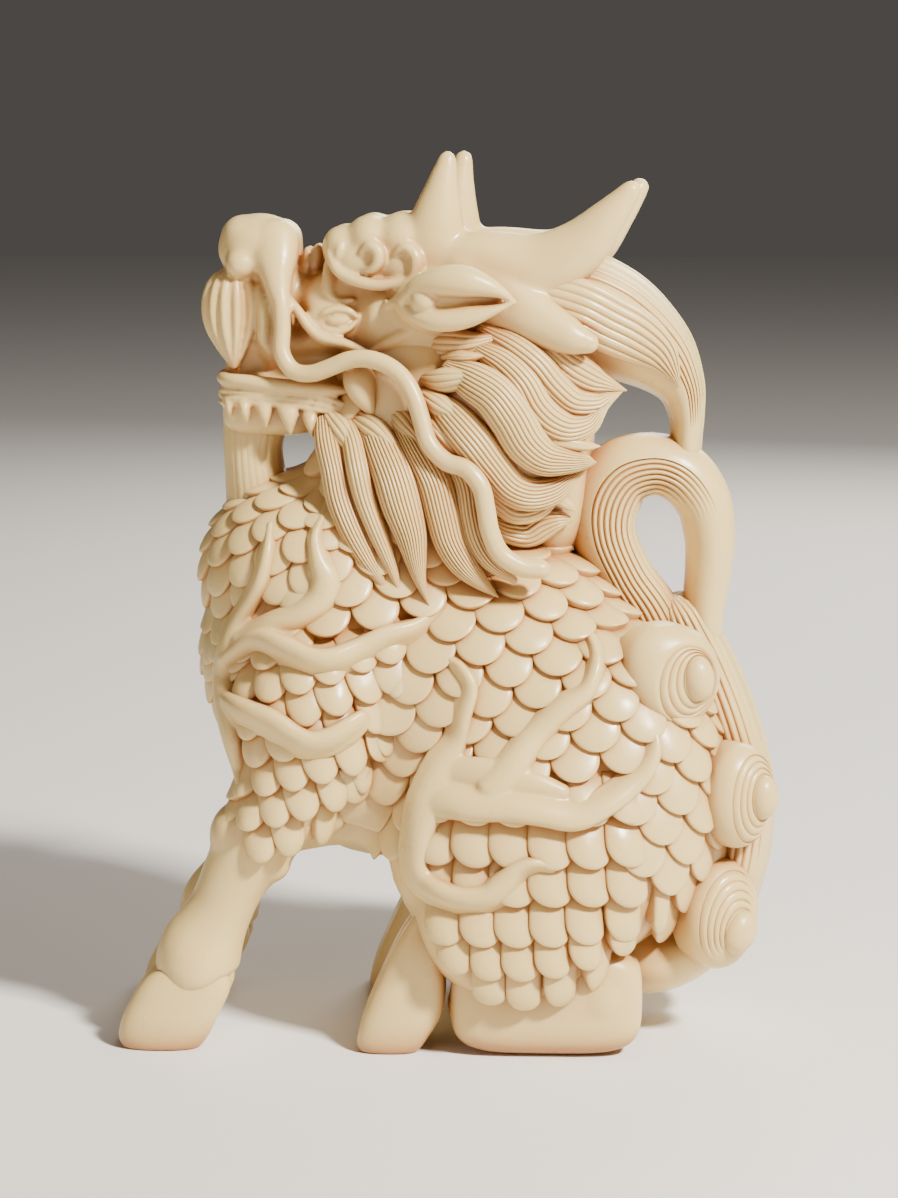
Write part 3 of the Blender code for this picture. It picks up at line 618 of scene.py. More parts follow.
def boss(centre, facing, shell, height, coil, knob, lean=0.0, rings=3, sector=(0, 360), drawn=(135, 0.0)):
    """A rounded boss that faces so many degrees round from the left flank towards the back, grooved round
    an oval knob. Its shell has a half width and half height, drawn out by a share in one direction. Coil
    and knob have their place off its middle, then their own sizes; the knob's top leans back. The grooves
    are cut on a sector of the turn, where 0 is towards the back and 90 up."""
    turn, angles = radians(facing), full_turn(96)
    axis, across = np.array((sin(turn), -cos(turn), 0)), np.array((cos(turn), sin(turn), 0))
    centre, knob, coil, shell = (np.array(v, float) for v in (centre, knob, coil, (0, 0, *shell)))

    def off(degrees):
        """How far each angle is from this one."""
        return np.abs((angles - radians(degrees) + pi) % (2 * pi) - pi)

    longer = 1 + drawn[1] * np.exp(-((off(drawn[0]) / 0.6) ** 2))
    width = sector[1] - sector[0]
    cut = np.clip((radians(width) / 2 - off(sum(sector) / 2)) / 0.5 + 0.5, 0, 1) if width < 360 else 1.0
    ovals = [(knob + (coil - knob) * t, 0.0, t) for t in np.linspace(0, 1, 12 * rings + 1)]
    outer_shares = (0.15, 0.3, 0.45, 0.6, 0.72, 0.82, 0.9, 0.95, 0.98, 1)
    ovals += [(coil + (shell - coil) * share, share, 0.0) for share in outer_shares]
    loops = []
    for (dx, dz, rx, rz), outer, place in ovals:
        stretch = 1 + (longer - 1) * outer
        flat_x, flat_z = dx + rx * np.cos(angles) * stretch, dz + rz * np.sin(angles) * stretch
        out = np.hypot(flat_x / shell[2], flat_z / shell[3]) / stretch
        rise = height * np.sqrt(np.clip(1 - out**2.6, 0, 1))
        rise = rise - cut * COIL_DEPTH * (1 - abs(sin(pi * rings * place)) ** 0.7) * (0 < place)
        loops.append(centre + np.outer(flat_x, across) + np.outer(flat_z, UP) + np.outer(rise, axis))
    loops.append(loops[-1] - axis * 1.5)
    heart = centre + across * knob[0] + UP * knob[1] + axis * height
    egg = ball(heart - axis * 0.35, (knob[2], 1.25, knob[3]), lean, facing)
    return [loft(loops, heart, centre - axis * 1.6), egg]


def tail_bosses():
    return [
        *boss((17.6, -7.7, 29.4), 28, (3.9, 4), 2.6, (0.25, -0.3, 2.5, 2.9), (0.95, 0.15, 1.3, 1.75), -8, 3,
              drawn=(140, 0.18)),
        *boss((22.8, -6.4, 19.9), 42, (3.3, 4.1), 2.3, (0.3, -0.1, 2.5, 3.4), (0.75, 0.1, 1.3, 1.75), 0, 3),
        *boss((21.5, -5.8, 10.4), 35, (3.4, 4.4), 2.3, (0.1, -0.3, 2.9, 3.9), (0.5, -1.1, 1.45, 1.8), 25, 4,
              sector=(50, 215)),
    ]


# ---- head


def moustache():
    """Fat strands under the nose, which bulge forward and meet in a point."""
    stations = ((59.6, 0.6, 1.4, 0.36, 0.5), (58.7, 1.45, 2, 0.46, 0.8), (57.3, 1.85, 2.3, 0.5, 0.9),
                (55.7, 1.75, 2.4, 0.47, 0.85), (54.1, 1.05, 2.4, 0.34, 0.65), (52.4, 0.2, 2.4, 0.12, 0.25))
    strands = []
    for angle in (0, 26, 50, 73, 96, 120, 146):
        for side in (-1, 1) if angle else (1,):
            turn = radians(angle)
            out = np.array((-cos(turn), side * sin(turn), 0))
            reach = 1.4 if angle > 90 else 1.0
            spread = side * sin(turn) ** 0.6
            route = [(-16.1 + out[0] * forward * reach, spread * aside, z, wide, deep)
                     for z, forward, aside, wide, deep in stations]
            strands.append(sweep(route, out=out, sides=14, steps=6))
    return strands


def face_masses():
    """The soft shapes of the head: nose, bridge, brows, temples, cheeks and jaw, and the antlers."""
    side = [
        ball((-15.5, -2.2, 60.3), (1.25, 1.3, 1.2)),  # wing of the nose
        sweep([(-13, -1.4, 62.2, 2, 1.6), (-12.8, -2.5, 60.6, 1.75, 1.4), (-12.6, -3.3, 59, 1.15, 1.1),
               (-12.25, -4, 57.2, 0.75, 0.8)], sides=24),
        ball((-12.9, -2.2, 55.4), (1.5, 1.6, 3)),
        ball((-7.7, -2.6, 61.6), (1.55, 2.1, 1.7)),
        ball((-5.5, -2.8, 62.2), (1.9, 2.5, 1.95)),
        ball((-3, -3, 62.2), (2.3, 2.7, 2.1)),
        ball((-5.4, -3.9, 60.6), (3, 1.5, 1.7)),
        ball((-2.6, -4.2, 60.4), (2.2, 1.7, 2)),
        ball((-0.5, -5.8, 57.6), (3.2, 2, 2.4)),
    ]
    jaw = [(-14.4, 0, 49.6, 2.6, 2.3), (-12, 0, 49.6, 3.6, 2.3), (-7, 0, 49.9, 4.2, 2.2),
           (-2, 0, 50.4, 4.3, 2.4)]
    return both_sides(side) + [
        ball((-14.2, 0, 61.4), (3.3, 3.1, 2.75)),
        ball((-15.4, 0, 62.2), (1.9, 2.5, 1.85)),
        ball((-16, 0, 56.6), (1.7, 1.7, 3.2)),
        ball((-0.5, 0, 55.8), (8, 6.2, 6.5)),
        pillow((-8.2, 0, 57.2), (2.8, 3.8, 2.7), 4),
        *both_sides([pillow((-8.3, -3, 56.2), (2.1, 1.35, 1.6), 4)]),
        pillow((-3.6, 0, 56.3), (2.6, 5.3, 2.6), 5),
        pillow((-2.8, 0, 53.6), (3.4, 5, 1.6), 4),
        sweep([(-2, 0, 57, 4.4, 5), (-6.5, 0, 57.6, 3.6, 3.6), (-10, 0, 57.2, 2.4, 2.8),
               (-13.5, 0, 58.9, 2.4, 2.4)], sides=28),
        sweep([(-15.4, 0, 54, 2.2, 1.2), (-12.5, 0, 54.2, 2.9, 1.3), (-9.4, 0, 54.6, 3.4, 1.3),
               (-6, 0, 55.4, 4.2, 1.6)], out=UP, sides=24),
        slab((-12.4, 0, 52.5), (4.6, 2.2, 1.6), 0.6),
        slab((-13.2, 0, 49.5), (3.95, 3.55, 2.45), 0.52),
        sweep(jaw, out=UP, sides=24),
        *horn(),
        *reflected(horn(FAR_HORN_BACK)),
    ]


def muzzle():
    """The folds of lip and cheek, and a leaf on the bridge."""
    folds = [
        [(-1.2, -5.9, 55.9, 0.4, 0.4), (-2.6, -5.6, 55.3, 0.6, 0.5), (-3.9, -5.4, 54.6, 0.5, 0.45),
         (-5.2, -5.2, 54, 0.2, 0.25)],
        [(-14, -2.2, 58.4, 0.5, 0.6), (-13.6, -2.8, 57.2, 0.65, 0.8), (-13.5, -3, 55.8, 0.7, 0.9),
         (-13.6, -3.1, 54.7, 0.6, 0.8), (-13.2, -3.1, 53.6, 0.3, 0.4)],
        [(-11.7, -3.5, 57.6, 0.4, 0.5), (-10.9, -3.9, 56.7, 0.4, 0.55), (-10.1, -4.2, 55.6, 0.42, 0.6),
         (-9.1, -4.5, 54.8, 0.44, 0.6), (-7.4, -4.8, 54.4, 0.42, 0.6), (-5.8, -5.2, 53.8, 0.3, 0.4)],
    ]
    return [
        *(sweep(fold, sides=14) for fold in folds),
        ball((-10.5, -1, 60.5), (0.45, 0.6, 1.15), 4),
        ball((-9.8, -0.9, 60.6), (0.55, 0.6, 1.25), 8),
    ]


def eye():
    """The eyeball, its two heavy lids, and the hook between them and the brow."""
    lines = [
        [(-9.6, -3.9, 56, 0.14, 0.2), (-9, -4.3, 56.7, 0.26, 0.35), (-8.1, -4.4, 57, 0.32, 0.4),
         (-7.1, -4.4, 56.9, 0.3, 0.4), (-6.4, -4.3, 56.4, 0.16, 0.25)],
        [(-9.4, -4, 55.9, 0.14, 0.2), (-8.8, -4.3, 55.45, 0.24, 0.3), (-7.9, -4.4, 55.3, 0.28, 0.35),
         (-7.1, -4.4, 55.5, 0.24, 0.3), (-6.5, -4.3, 56.1, 0.14, 0.2)],
        [(-8.6, -3, 60.3, 0.5, 0.5), (-8.7, -3.4, 59.2, 0.5, 0.55), (-8.55, -3.7, 58.1, 0.48, 0.5),
         (-7.9, -3.9, 57.6, 0.34, 0.4), (-6.8, -4, 57.7, 0.2, 0.25)],
    ]
    return [ball((-7.9, -4.3, 56.15), (0.95, 0.45, 0.5), -4), *(sweep(line, sides=12) for line in lines)]


def brow():
    """The brow's rolled lower edge, and the hooks it winds off into."""
    roll = [(-8.75, -3.3, 62.2, 0.25, 0.3), (-8.5, -4, 61.1, 0.36, 0.45), (-8, -4.6, 60.1, 0.44, 0.5),
            (-7.2, -4.9, 59.5, 0.46, 0.5), (-6.1, -5.2, 59.1, 0.46, 0.5), (-4.8, -5.4, 58.9, 0.46, 0.5),
            (-3.6, -5.6, 59, 0.44, 0.5), (-2.7, -5.7, 59.2, 0.4, 0.5)]
    first = [(-6, -5, 60.9, 0.16, 0.3), (-5.9, -5.2, 61.5, 0.3, 0.4), (-5.35, -5.4, 61.8, 0.44, 0.55),
             (-4.8, -5.5, 61.4, 0.52, 0.65), (-4.75, -5.5, 60.7, 0.54, 0.65), (-5.2, -5.4, 60.15, 0.42, 0.5),
             (-5.8, -5.2, 60, 0.22, 0.3)]
    second = [(-3.5, -5.3, 60.9, 0.16, 0.3), (-3.3, -5.5, 61.4, 0.32, 0.45), (-2.7, -5.7, 61.7, 0.46, 0.55),
              (-2.05, -5.8, 61.2, 0.56, 0.65), (-1.85, -5.9, 60.4, 0.56, 0.65), (-2.1, -5.9, 59.5, 0.5, 0.6),
              (-2.7, -5.9, 58.8, 0.44, 0.5), (-3.1, -5.8, 58.2, 0.4, 0.5), (-3.5, -5.7, 57.7, 0.38, 0.5),
              (-4, -5.5, 57.3, 0.36, 0.4), (-4.2, -5.4, 57.7, 0.16, 0.25)]
    return [
        ball((-7.75, -4.1, 61.2), (0.55, 0.8, 1.2), 8),
        *(sweep(line, sides=14) for line in (roll, first, second)),
    ]


def ear():
    """A leaf-shaped ear that points back: two thick rims round a hollow with a bead in its base."""
    upper = [(-2.7, -7.3, 58, 0.5, 0.8), (-1.6, -8, 59, 0.75, 1), (0.2, -8.7, 59.35, 1.15, 1.25),
             (1.9, -9, 59.35, 1.2, 1.3), (3.4, -9.1, 59, 0.85, 1), (4.6, -9, 58.5, 0.46, 0.7),
             (5.6, -8.8, 57.8, 0.12, 0.3)]
    lower = [(-2.7, -7.2, 57.6, 0.5, 0.6), (-1.9, -7.7, 56.8, 0.6, 0.8), (-0.6, -8.3, 56.5, 0.85, 0.9),
             (0.9, -8.6, 56.5, 0.9, 0.9), (2.4, -8.8, 56.8, 0.8, 0.8), (3.9, -8.9, 57.2, 0.45, 0.6),
             (5.6, -8.8, 57.8, 0.12, 0.3)]
    return [
        *(sweep(line, sides=20, steps=6) for line in (upper, lower)),
        ball((1.2, -7.7, 57.8), (3.8, 1, 1.7)),
        ball((-1.15, -8.3, 57.9), (1.1, 0.95, 0.95)),
    ]


def mouth():
    """The jaw's rolled lip, furrowed gum and teeth, and the tusks in the corner."""
    lip = [(-17.1, 0.3, 51.6, 0.5, 0.5), (-17, -1.6, 51.55, 0.55, 0.5), (-16.4, -3, 51.5, 0.58, 0.5),
           (-14.8, -3.7, 51.4, 0.6, 0.55), (-12, -4.2, 51.1, 0.6, 0.6), (-9, -4.5, 50.9, 0.55, 0.55),
           (-7.2, -4.4, 50.8, 0.25, 0.3)]
    gum = ((-17.15, -1.4, 0, 0.2), (-16.5, -2.95, 0, 0.2), (-14.6, -3.7, 0, 0.2), (-12, -4.15, 0.05, 0.2),
           (-9.4, -4.5, -0.35, 0.2), (-6.8, -4.6, -0.85, 0.18), (-4.4, -4.2, -1.5, 0.08))
    furrows = []
    for k, level in enumerate((50.6, 50.15, 49.7)):
        waves = 0.07 * np.sin(np.arange(len(gum)) * 2.1 + k * 1.7)
        line = [(x, y, level + (sag + wave), thick, 1.8 * thick)
                for (x, y, sag, thick), wave in zip(gum, waves)]
        furrows.append(sweep(line, sides=10))
    teeth = []
    places = ((-16.4, -3.1, 49.6, 0.4, 0.9), (-15.15, -3.7, 49.6, 0.58, 1.25), (-13.6, -3.9, 49.6, 0.78, 1.6),
              (-11.7, -4.3, 49.4, 0.95, 2), (-10, -4.5, 48.7, 0.65, 1.4))
    for x, y, top, wide, drop in places:
        tooth = [(x - 0.1, y + 0.2, top + 0.2, wide, 0.5), (x, y, top - drop * 0.35, wide * 0.72, 0.6),
                 (x + 0.1, y + 0.1, top - drop, 0.1, 0.3)]
        teeth.append(sweep(tooth, sides=12, blunt=0.06))
    tusk = [(-6.3, -4.8, 52.5, 1.3, 0.9), (-6.2, -5.4, 51.3, 1.2, 0.9), (-5.7, -5.6, 50.1, 0.8, 0.75),
            (-5, -5.5, 48.8, 0.12, 0.2)]
    stub = [(-4.7, -4.7, 52.1, 0.5, 0.6), (-4.4, -5.1, 51, 0.45, 0.6), (-4.3, -5.1, 49.9, 0.12, 0.2)]
    return [
        sweep(lip, out=UP),
        *furrows,
        *teeth,
        sweep(tusk, sides=18, blunt=0.08),
        sweep(stub, sides=12, blunt=0.08),
        ball((-3.2, -4.3, 50.2), (1.1, 1, 1.5)),
    ]


def whisker():
    route = [(-12.15, -4.5, 55.4), (-12.15, -4.9, 53.7), (-11.3, -5.2, 52.4), (-9.9, -5.6, 52.2),
             (-8.4, -6, 52.7), (-6.9, -6.4, 53.3), (-5.4, -6.8, 53.4), (-3.9, -7.2, 52.9), (-2.7, -7.6, 51.9),
             (-1.9, -8, 50.5), (-1.4, -8.3, 49), (-0.8, -8.7, 47.2), (0.5, -9.1, 45.9), (2, -9.5, 45.4),
             (3.1, -9.8, 44.1), (3.5, -10, 42.4), (3.8, -10.1, 40.8), (4.6, -10.1, 39.1), (6.1, -10, 38.1),
             (7.6, -9.8, 37.9)]
    root = [(-12.5, -3.4, 58.9, 0.85, 0.9), (-12.25, -4.1, 57.2, 0.7, 0.75)]
    growth = np.linspace(0.66, 0.76, len(route))
    return sweep(root + [(*p, g, g) for p, g in zip(route, growth)], sides=20, steps=6, blunt=0.6)


def horn(back=0.0):
    """One antler of three prongs with its broad root."""
    prongs = [
        [(-1.2, -3.4, 60, 2.6, 2.4), (3, -4.2, 60, 3, 2.4), (7.2, -4.8, 60, 2.8, 2.2),
         (10.2, -5.4, 61.6, 2.2, 1.9), (12.6, -6, 64.1, 1.4, 1.4), (14.2, -6.3, 66, 0.8, 0.85)],
        [(-0.6, -3.8, 61, 2.6, 2.1), (-0.4, -4, 63.6, 2.1, 1.7), (0, -4, 66.2, 1.3, 1.25),
         (0.4, -4, 68.2, 0.75, 0.75)],
        [(1.5, -4.6, 59.4, 2.7, 2.2), (4.6, -5.3, 57.9, 2.4, 2.1), (7.7, -6.4, 56.1, 1.9, 1.7),
         (9.8, -7.1, 55.1, 1.4, 1.4), (11.1, -7.5, 54.7, 0.85, 0.9)],
    ]
    return [placed(sweep(prong, sides=28, steps=8), (back, 0, 0), 1) for prong in prongs]


def jaw_fringe():
    """Pointed tufts under the edge of the jaw."""
    tufts = [
        [(-8.4, -4.5, 48.7, 0.8, 0.7), (-7.6, -5.5, 47.8, 1, 0.8), (-6.9, -6.3, 46.9, 0.65, 0.6),
         (-6.1, -6.8, 46.1, 0.08, 0.2)],
        [(-6.3, -4.9, 48.6, 0.9, 0.7), (-5.1, -6, 47.9, 1.15, 0.9), (-3.9, -7, 47, 0.75, 0.7),
         (-2.9, -7.6, 46, 0.08, 0.2)],
        [(-3.6, -5.4, 49.3, 0.8, 0.7), (-2.7, -6.4, 48.5, 0.95, 0.8), (-1.9, -7.3, 47.7, 0.6, 0.6),
         (-1.2, -7.9, 46.8, 0.08, 0.2)],
    ]
    return [sweep(tuft, strands=4, groove=0.15, blunt=0.05) for tuft in tufts]


def goatee():
    """The column of hair from the chin to the breast, and its root."""
    column = [(-14.6, 0, 48.4, 2.7, 2.5), (-14.9, 0, 46.2, 2.35, 2.5), (-14.75, 0, 43.9, 2.4, 2.7),
              (-14.3, 0, 41, 2.8, 2.9), (-13.9, 0, 38, 3, 3.1), (-13.2, 0, 34.5, 3, 3.2)]
    root = [(-13.6, 0, 40.4, 2.6, 3), (-12.2, 0, 41.3, 2.5, 3.2), (-10.2, 0, 42.2, 2.3, 3.2),
            (-8.2, 0, 44.2, 2.2, 3.4)]
    return [sweep(column, strands=9, groove=0.05, back=True, steps=7), sweep(root, sides=28)]


# ---- hair


FULLER, FALL = 1.18, 0.35  # how much fuller locks are than drawn, and how steeply they may fall inwards


def lock(surface, stations, strands, rise=0.4, groove=0.15):
    """A lock on the flank, which runs on free of it where the surface falls away too steeply."""
    laid = [(x, y, z, wide * FULLER, deep) for x, y, z, wide, deep in on_flank(surface, stations, rise)]
    for k in range(1, len(laid)):
        (x0, y0, z0), (x, y, z) = laid[k - 1][:3], laid[k][:3]
        laid[k] = (x, min(y, y0 + FALL * hypot(x - x0, z - z0)), z, *laid[k][3:])
    return sweep(laid, strands=strands, groove=groove, blunt=POINT[0])


def beard():
    """Long locks that hang from the jaw over the breast, each drawn out to a point."""
    strands = (8, 6, 11, 10, 7)
    locks = [
        [(-8.9, -4.3, 48.3, 0.9, 0.8), (-8.6, -5.4, 46.9, 1.1, 1.1), (-8.1, -6.4, 45, 1.1, 1.3),
         (-7.6, -7, 42.8, 1.15, 1.4), (-6.7, -7.6, 40.6, 1.1, 1.4), (-5.6, -8.1, 38.6, 0.9, 1.1),
         (-4.5, -8.5, 36.9, 0.5, 0.7), (-3.8, -8.8, 35.7, 0.06, 0.2)],
        [(-7.2, -4.9, 48.2, 0.8, 0.8), (-6.7, -6, 47, 0.9, 1), (-6.2, -7.1, 45, 1, 1.3),
         (-5.7, -7.6, 43, 0.95, 1.3), (-4.9, -8.1, 40.9, 0.85, 1.2), (-4.1, -8.4, 39, 0.7, 1),
         (-3.4, -8.7, 37.2, 0.4, 0.7), (-3, -8.9, 35.7, 0.06, 0.2)],
        [(-5.2, -5.4, 48.2, 1.2, 0.8), (-4.5, -6.6, 46.8, 1.45, 1.1), (-3.6, -7.7, 44.8, 1.6, 1.4),
         (-2.9, -8.3, 42.6, 1.6, 1.5), (-2.2, -8.6, 40.4, 1.3, 1.4), (-1.85, -8.8, 38.6, 0.9, 1.1),
         (-1.5, -8.9, 36.9, 0.5, 0.8), (-0.8, -9, 35, 0.06, 0.2)],
        [(-2.9, -5.9, 48.4, 1, 0.9), (-1.8, -7.1, 46.7, 1.2, 1.1), (-0.5, -7.9, 44.4, 1.4, 1.3),
         (0.2, -8.3, 41.9, 1.4, 1.4), (0.8, -8.5, 39.8, 1.3, 1.4), (1.8, -8.6, 38.1, 1.1, 1.2),
         (3, -8.7, 36.8, 0.65, 0.8), (4.4, -8.7, 35.6, 0.06, 0.2)],
        [(1, -7.7, 46.2, 0.9, 0.9), (2, -8.1, 44.2, 1, 1), (2.4, -8.4, 41.8, 1, 1.1),
         (2.9, -8.5, 39.9, 1, 1.1), (3.9, -8.6, 38.3, 0.8, 0.9), (5.6, -8.6, 36.9, 0.3, 0.5)],
    ]
    return [sweep(line, strands=n, groove=0.16, blunt=POINT[0]) for n, line in zip(strands, locks)]


def mane(surface):
    """Locks that sweep back from the cheek to points that flick up, and leaf-like tufts at their roots."""
    tufts = [
        [(-1.6, 54.2, 0.2, 0.3), (-0.4, 54.1, 0.75, 0.8), (1.2, 54.1, 1, 1), (2.7, 54.2, 0.7, 0.8),
         (4.7, 54.7)],
        [(0.6, 53.2, 0.2, 0.4), (1.5, 53.3, 0.45, 0.7), (2.4, 53.3, 0.4, 0.7), (3.6, 53.4)],
        [(-1.2, 51.7, 0.2, 0.3), (-0.2, 51.6, 0.65, 0.8), (1, 51.7, 0.85, 1), (2.3, 52, 0.6, 0.8),
         (3.8, 52.4)],
        [(-1.3, 50.7, 0.2, 0.3), (-0.6, 50.4, 0.55, 0.8), (0.4, 49.9, 0.8, 0.9), (1.2, 49.3, 0.5, 0.6),
         (2.1, 48.5)],
        [(-1.2, 49.3, 0.2, 0.3), (-0.5, 48.8, 0.5, 0.7), (0.4, 48, 0.65, 0.8), (1.1, 47, 0.45, 0.6),
         (1.8, 45.9)],
    ]
    strands = (6, 6, 7, 2, 10, 9, 4, 6, 2)
    locks = [
        [(8.2, 53.8, 0.9, 0.8), (9.7, 52.6, 1.15, 1), (11.1, 51.8, 1, 0.9), (12.5, 51.4, 0.6, 0.7),
         (14.1, 51.3)],
        [(3.4, 55.2, 0.6, 0.8), (5.3, 54.2, 0.95, 1.1), (7, 52.9, 1.05, 1.3), (8.3, 51.3, 1.05, 1.3),
         (9.7, 50.1, 1, 1.2), (11.3, 49.9, 0.8, 1), (12.7, 50.4, 0.45, 0.7), (13.8, 51.2)],
        [(2.9, 54, 0.6, 0.6), (4.6, 53, 0.95, 0.9), (6, 51.6, 1.1, 1.1), (7, 49.9, 1.15, 1.1),
         (8.1, 48.7, 1.15, 1.1), (9.4, 48.2, 1, 1), (10.8, 48.4, 0.7, 0.8), (12, 49.3, 0.4, 0.6),
         (12.8, 50.2)],
        [(8, 47.3, 0.3, 0.5), (9.6, 47.1, 0.5, 0.7), (10.7, 46.9, 0.35, 0.6), (12, 46.8, 0.05, 0.2)],
        [(1, 52.4, 0.8, 0.8), (2.6, 51.7, 1.3, 1.2), (4.1, 50.7, 1.45, 1.5), (5.3, 49.1, 1.5, 1.6),
         (6.3, 47.3, 1.45, 1.6), (7.6, 46.2, 1.2, 1.4), (9.2, 45.85, 0.85, 1.1), (10.6, 45.8, 0.5, 0.8),
         (11.7, 45.6)],
        [(0, 50.1, 0.8, 0.7), (1.1, 49, 1.2, 1), (2.6, 47.3, 1.35, 1.2), (3.9, 45.7, 1.25, 1.3),
         (5.2, 44.1, 1.2, 1.3), (6.7, 43.4, 1.1, 1.2), (8.3, 43.6, 0.9, 1), (9.5, 44.3, 0.5, 0.7),
         (10.7, 45.2)],
        [(3.2, 43.8, 0.5, 0.5), (4.4, 42.6, 0.65, 0.7), (5.5, 41.9, 0.65, 0.8), (6.8, 41.9, 0.6, 0.8),
         (8, 42.5, 0.4, 0.6), (8.9, 43.3)],
        [(3.9, 41.2, 0.5, 0.6), (5, 40.6, 0.85, 0.9), (6.4, 40.3, 1, 1), (7.7, 40.7, 1.05, 1),
         (8.8, 41.1, 0.7, 0.8), (9.7, 41.1, 0.15, 0.3)],
        [(7.6, 43.1, 0.3, 0.5), (8.7, 42.8, 0.45, 0.7), (9.4, 42.3, 0.4, 0.6), (9.9, 41.8, 0.1, 0.3)],
    ]
    over = [(6.8, 58.2, 1.6, 0.4), (9, 57.7, 1.9, 0.5), (10.8, 57, 1.9, 0.7), (12.6, 56.1, 1.9, 0.8),
            (14.6, 55.1, 1.75, 0.9), (16.3, 53.9, 1.3, 0.9), (17.3, 52.6, 0.7, 0.7), (18.05, 51.2, 0.06, 0.3)]
    forms = [lock(surface, over, 7, 0.25, 0.2)] + [lock(surface, tuft, 4, 0.7, 0.14) for tuft in tufts]
    return forms + [lock(surface, line, n) for n, line in zip(strands, locks)]


def mane_back():
    """The great lock over the nape and down to the tail, grooved on its outer side."""
    route = [(6, 0, 56.4, 4.6, 6.4), (9.6, 0, 56.9, 4.6, 6.2), (12.4, 0, 56.2, 4.2, 5.6),
             (14.9, 0, 54.6, 3.7, 4.9), (16.9, 0, 52.9, 2.9, 4), (18.3, 0, 50.9, 1.9, 3.2),
             (18.8, 0, 48.9, 1.35, 2.6), (18.85, 0, 47.2, 1.15, 2.2), (18.8, 0, 45.6, 1.1, 2)]
    return [
        sweep(route, strands=6, groove=0.26, side=(-1.02, -0.15), back=True, steps=9, fade=(0.68, 0.85)),
        ridged_back(route, (1, 0, 1), 0.72, 8, 0.12, groove=0.22, steps=7, fade=(0.7, 0.88)),
    ]


# ---- finish


def ivory():
    """Polished cream resin with painted warm shade in the recesses, and fine ripples left by the carver's
    tools.
    """
    material = bpy.data.materials.new("ivory")
    material.use_nodes = True
    nodes, links = material.node_tree.nodes, material.node_tree.links

    def fed(node, sockets):
        """The node's outputs, once its sockets have these numbers, colours or links."""
        for socket, value in sockets.items():
            if isinstance(value, bpy.types.NodeSocket):
                links.new(value, node.inputs[socket])
            else:
                node.inputs[socket].default_value = value
        return node.outputs

    def noise(scale, detail=3.0):
        sockets = {"Scale": scale, "Detail": detail, "Vector": coordinates}
        return fed(nodes.new("ShaderNodeTexNoise"), sockets)["Fac"]

    def blend(factor, first, second):
        node = nodes.new("ShaderNodeMix")
        node.data_type = "RGBA"
        return fed(node, {"Factor": factor, 6: first, 7: second})[2]

    def stretched(*numbers):
        """A value brought from one range to another."""
        return fed(nodes.new("ShaderNodeMapRange"), dict(enumerate(numbers)))[0]

    coordinates = nodes.new("ShaderNodeTexCoord").outputs["Object"]
    # Painted shade: ambient occlusion finds the hollows and creases, and the colour there is darkened towards
    # a warm brown
    painted_shade_occlusion = nodes.new("ShaderNodeAmbientOcclusion")
    painted_shade_occlusion.samples = 6
    painted_shade_occlusion.inputs["Distance"].default_value = 0.0030
    unshaded_share = stretched(painted_shade_occlusion.outputs["AO"], 0.3, 0.95, 0.0, 1.0)
    body = blend(noise(70.0), CREAM, CREAM_DEEP)
    colour = blend(unshaded_share, PAINTED_SHADE, body)
    gloss = stretched(noise(420.0), 0.3, 0.7, 0.26, 0.40)
    ripples = nodes.new("ShaderNodeBump")
    fed(ripples, {"Strength": 0.35, "Distance": 0.00005, "Height": noise(1500.0, 2.0)})
    fed(nodes["Principled BSDF"], {
        "Subsurface Weight": 0.25,
        "Subsurface Radius": (1.0, 0.5, 0.25),
        "Subsurface Scale": 0.0007,
        "IOR": 1.5,
        "Base Color": colour,
        "Roughness": gloss,
        "Normal": ripples.outputs["Normal"],
    })
    return material


def placement():
    """What brings a form from the design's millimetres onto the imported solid."""
    low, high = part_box(NODE)
    scale_up = (high.z - low.z) / (DESIGN_TOP - DESIGN_SOLE)
    middle = Vector(((low.x + high.x) / 2, 0, low.z))
    design = Vector((DESIGN_MIDDLE, 0, DESIGN_SOLE))
    return Matrix.Translation(middle) @ Matrix.Scale(scale_up, 4) @ Matrix.Translation(-design)


def add_piece(name, mesh, material, place):
    mesh.name = name
    mesh.transform(place)
    mesh.materials.append(material)
    mesh.shade_smooth()
    mesh.set_sharp_from_angle(angle=radians(50))
    obj = linked(name, mesh)
    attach(obj, "root")
    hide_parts(NODE)


def aim(obj, place, target):
    """Sets a camera or a light in its place, turned to the target."""
    obj.location = place
    obj.rotation_mode = "QUATERNION"
    obj.rotation_quaternion = (target - place).to_track_quat("-Z", "Y")


def camera_and_lights():
    target, distance = Vector((0, 0, 0.0344)), 0.235
    turn, climb = radians(2), radians(9)
    back = Vector((sin(turn) * cos(climb), -cos(turn) * cos(climb), sin(climb)))
    camera = linked("camera", bpy.data.cameras.new("camera"))
    aim(camera, target + back * distance, target)
    camera.data.lens, camera.data.clip_start = 88.3, 0.01
    bpy.context.scene.camera = camera
    for name, place, energy, size, colour in (
        ("key", (0.25, -0.22, 0.32), 6.0, 0.05, (1.0, 0.95, 0.86)),
        ("fill", (-0.30, -0.32, 0.10), 0.50, 0.30, (1.0, 0.78, 0.66)),
        ("rim", (0.10, 0.32, 0.22), 1.0, 0.20, (1.0, 0.94, 0.86)),
    ):
        light = linked(name, bpy.data.lights.new(name, "AREA"))
        aim(light, Vector(place), target)
        light.data.energy, light.data.size, light.data.color = energy, size, colour


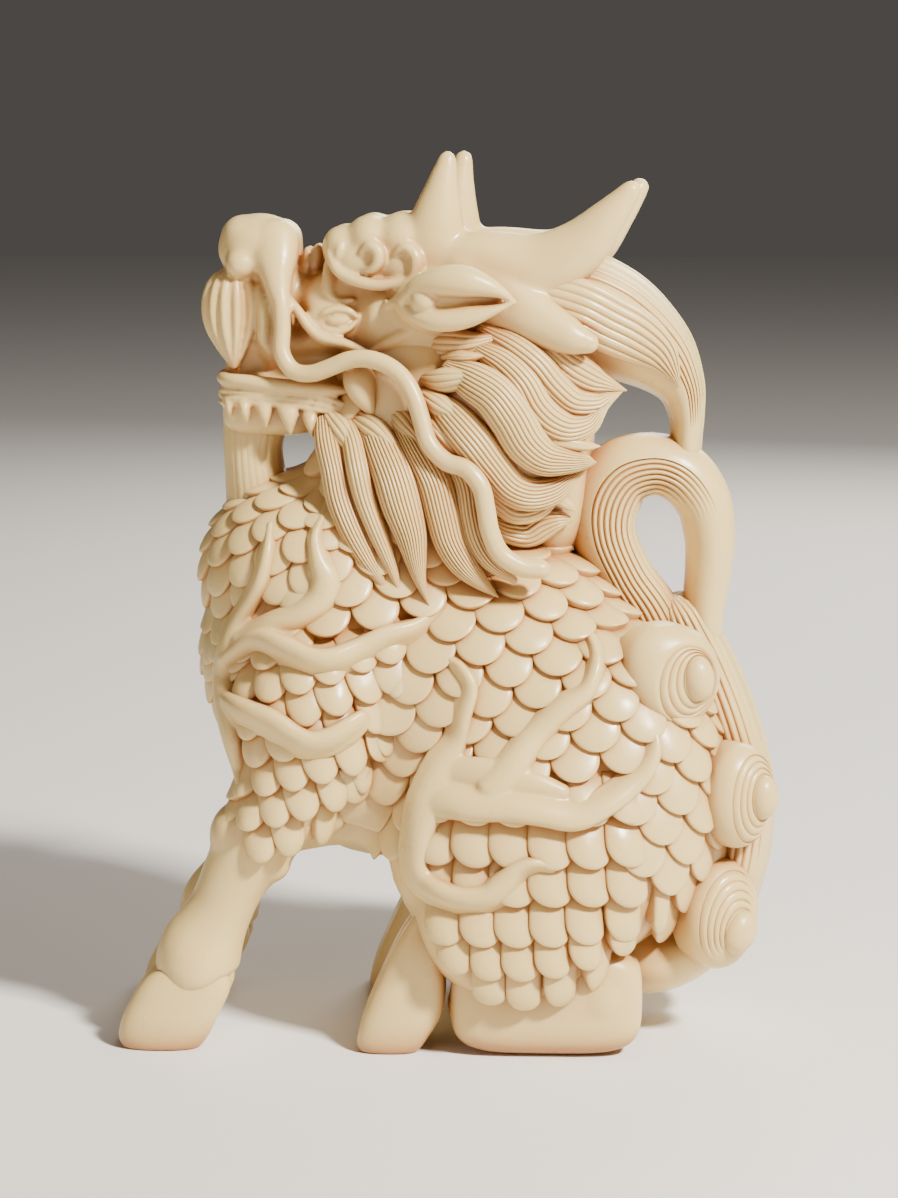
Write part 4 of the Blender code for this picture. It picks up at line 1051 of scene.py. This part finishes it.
def room():
    """A pale floor, and a little light from all round."""
    world = bpy.data.worlds.new("studio")
    world.use_nodes = True
    sockets = world.node_tree.nodes["Background"].inputs
    sockets["Color"].default_value, sockets["Strength"].default_value = (0.95, 0.88, 0.84, 1), 0.08
    bpy.context.scene.world = world
    bpy.ops.mesh.primitive_plane_add(size=3)
    floor = bpy.context.object
    floor.name = "floor"
    material = bpy.data.materials.new("floor")
    material.use_nodes = True
    sockets = material.node_tree.nodes["Principled BSDF"].inputs
    sockets["Base Color"].default_value, sockets["Roughness"].default_value = (0.8, 0.78, 0.75, 1), 0.8
    floor.data.materials.append(material)


def head():
    """The face's masses and features as one skin."""
    features = moustache() + both_sides(muzzle() + eye() + brow() + ear() + mouth() + [whisker()])
    return fused([form_of(fused(face_masses(), 0.28, 5)), *features], 0.15, 1, 0.5)


def build():
    body = trunk() + both_sides(haunch() + upper_foreleg())
    base = fused(body, 0.45, 8)
    surface, eased = tree_of(base), tree_of(fused(body, 0.6, 30))
    nape = tree_of(mesh_of(mane_core() + mane_back()))
    pieces = {
        "trunk": base,
        "neck_mass": fused(mane_core(), 0.5, 4),
        "head": head(),
        "goatee": mesh_of(both_sides(jaw_fringe()) + goatee()),
        "beard": mesh_of(both_sides(beard())),
        "mane": mesh_of(both_sides(mane(nape)) + mane_back()),
        "chest_scales": mesh_of(both_sides(chest_scales(surface))),
        "flank_scales": mesh_of(both_sides(flank_scales(eased))),
        "arm_scales": mesh_of(both_sides(arm_scales(surface))),
        "thigh_scales": mesh_of(both_sides(thigh_scales(surface))),
    }
    for side, mirror in (("left", list), ("right", reflected)):
        pieces[side + "_shoulder_scroll"] = fused(mirror(shoulder_scroll(surface)), 0.16, 4, 0.6)
        pieces[side + "_haunch_scroll"] = fused(mirror(haunch_scroll(surface)), 0.16, 4, 0.6)
    pieces |= {
        "lower_forelegs": fused(both_sides(lower_foreleg()), 0.28, 5),
        "fore_hooves": mesh_of(both_sides(fore_hoof())),
        "hind_hooves": mesh_of(both_sides(hind_hoof())),
        "hocks": fused(both_sides(hind_foot()), 0.3, 8),
        "tail": mesh_of(tail_loop() + tail_plume()),
        "tail_bosses": mesh_of(both_sides(tail_bosses())),
    }
    material, place = ivory(), placement()
    for name, mesh in pieces.items():
        add_piece(name, mesh, material, place)


build()
camera_and_lights()
room()
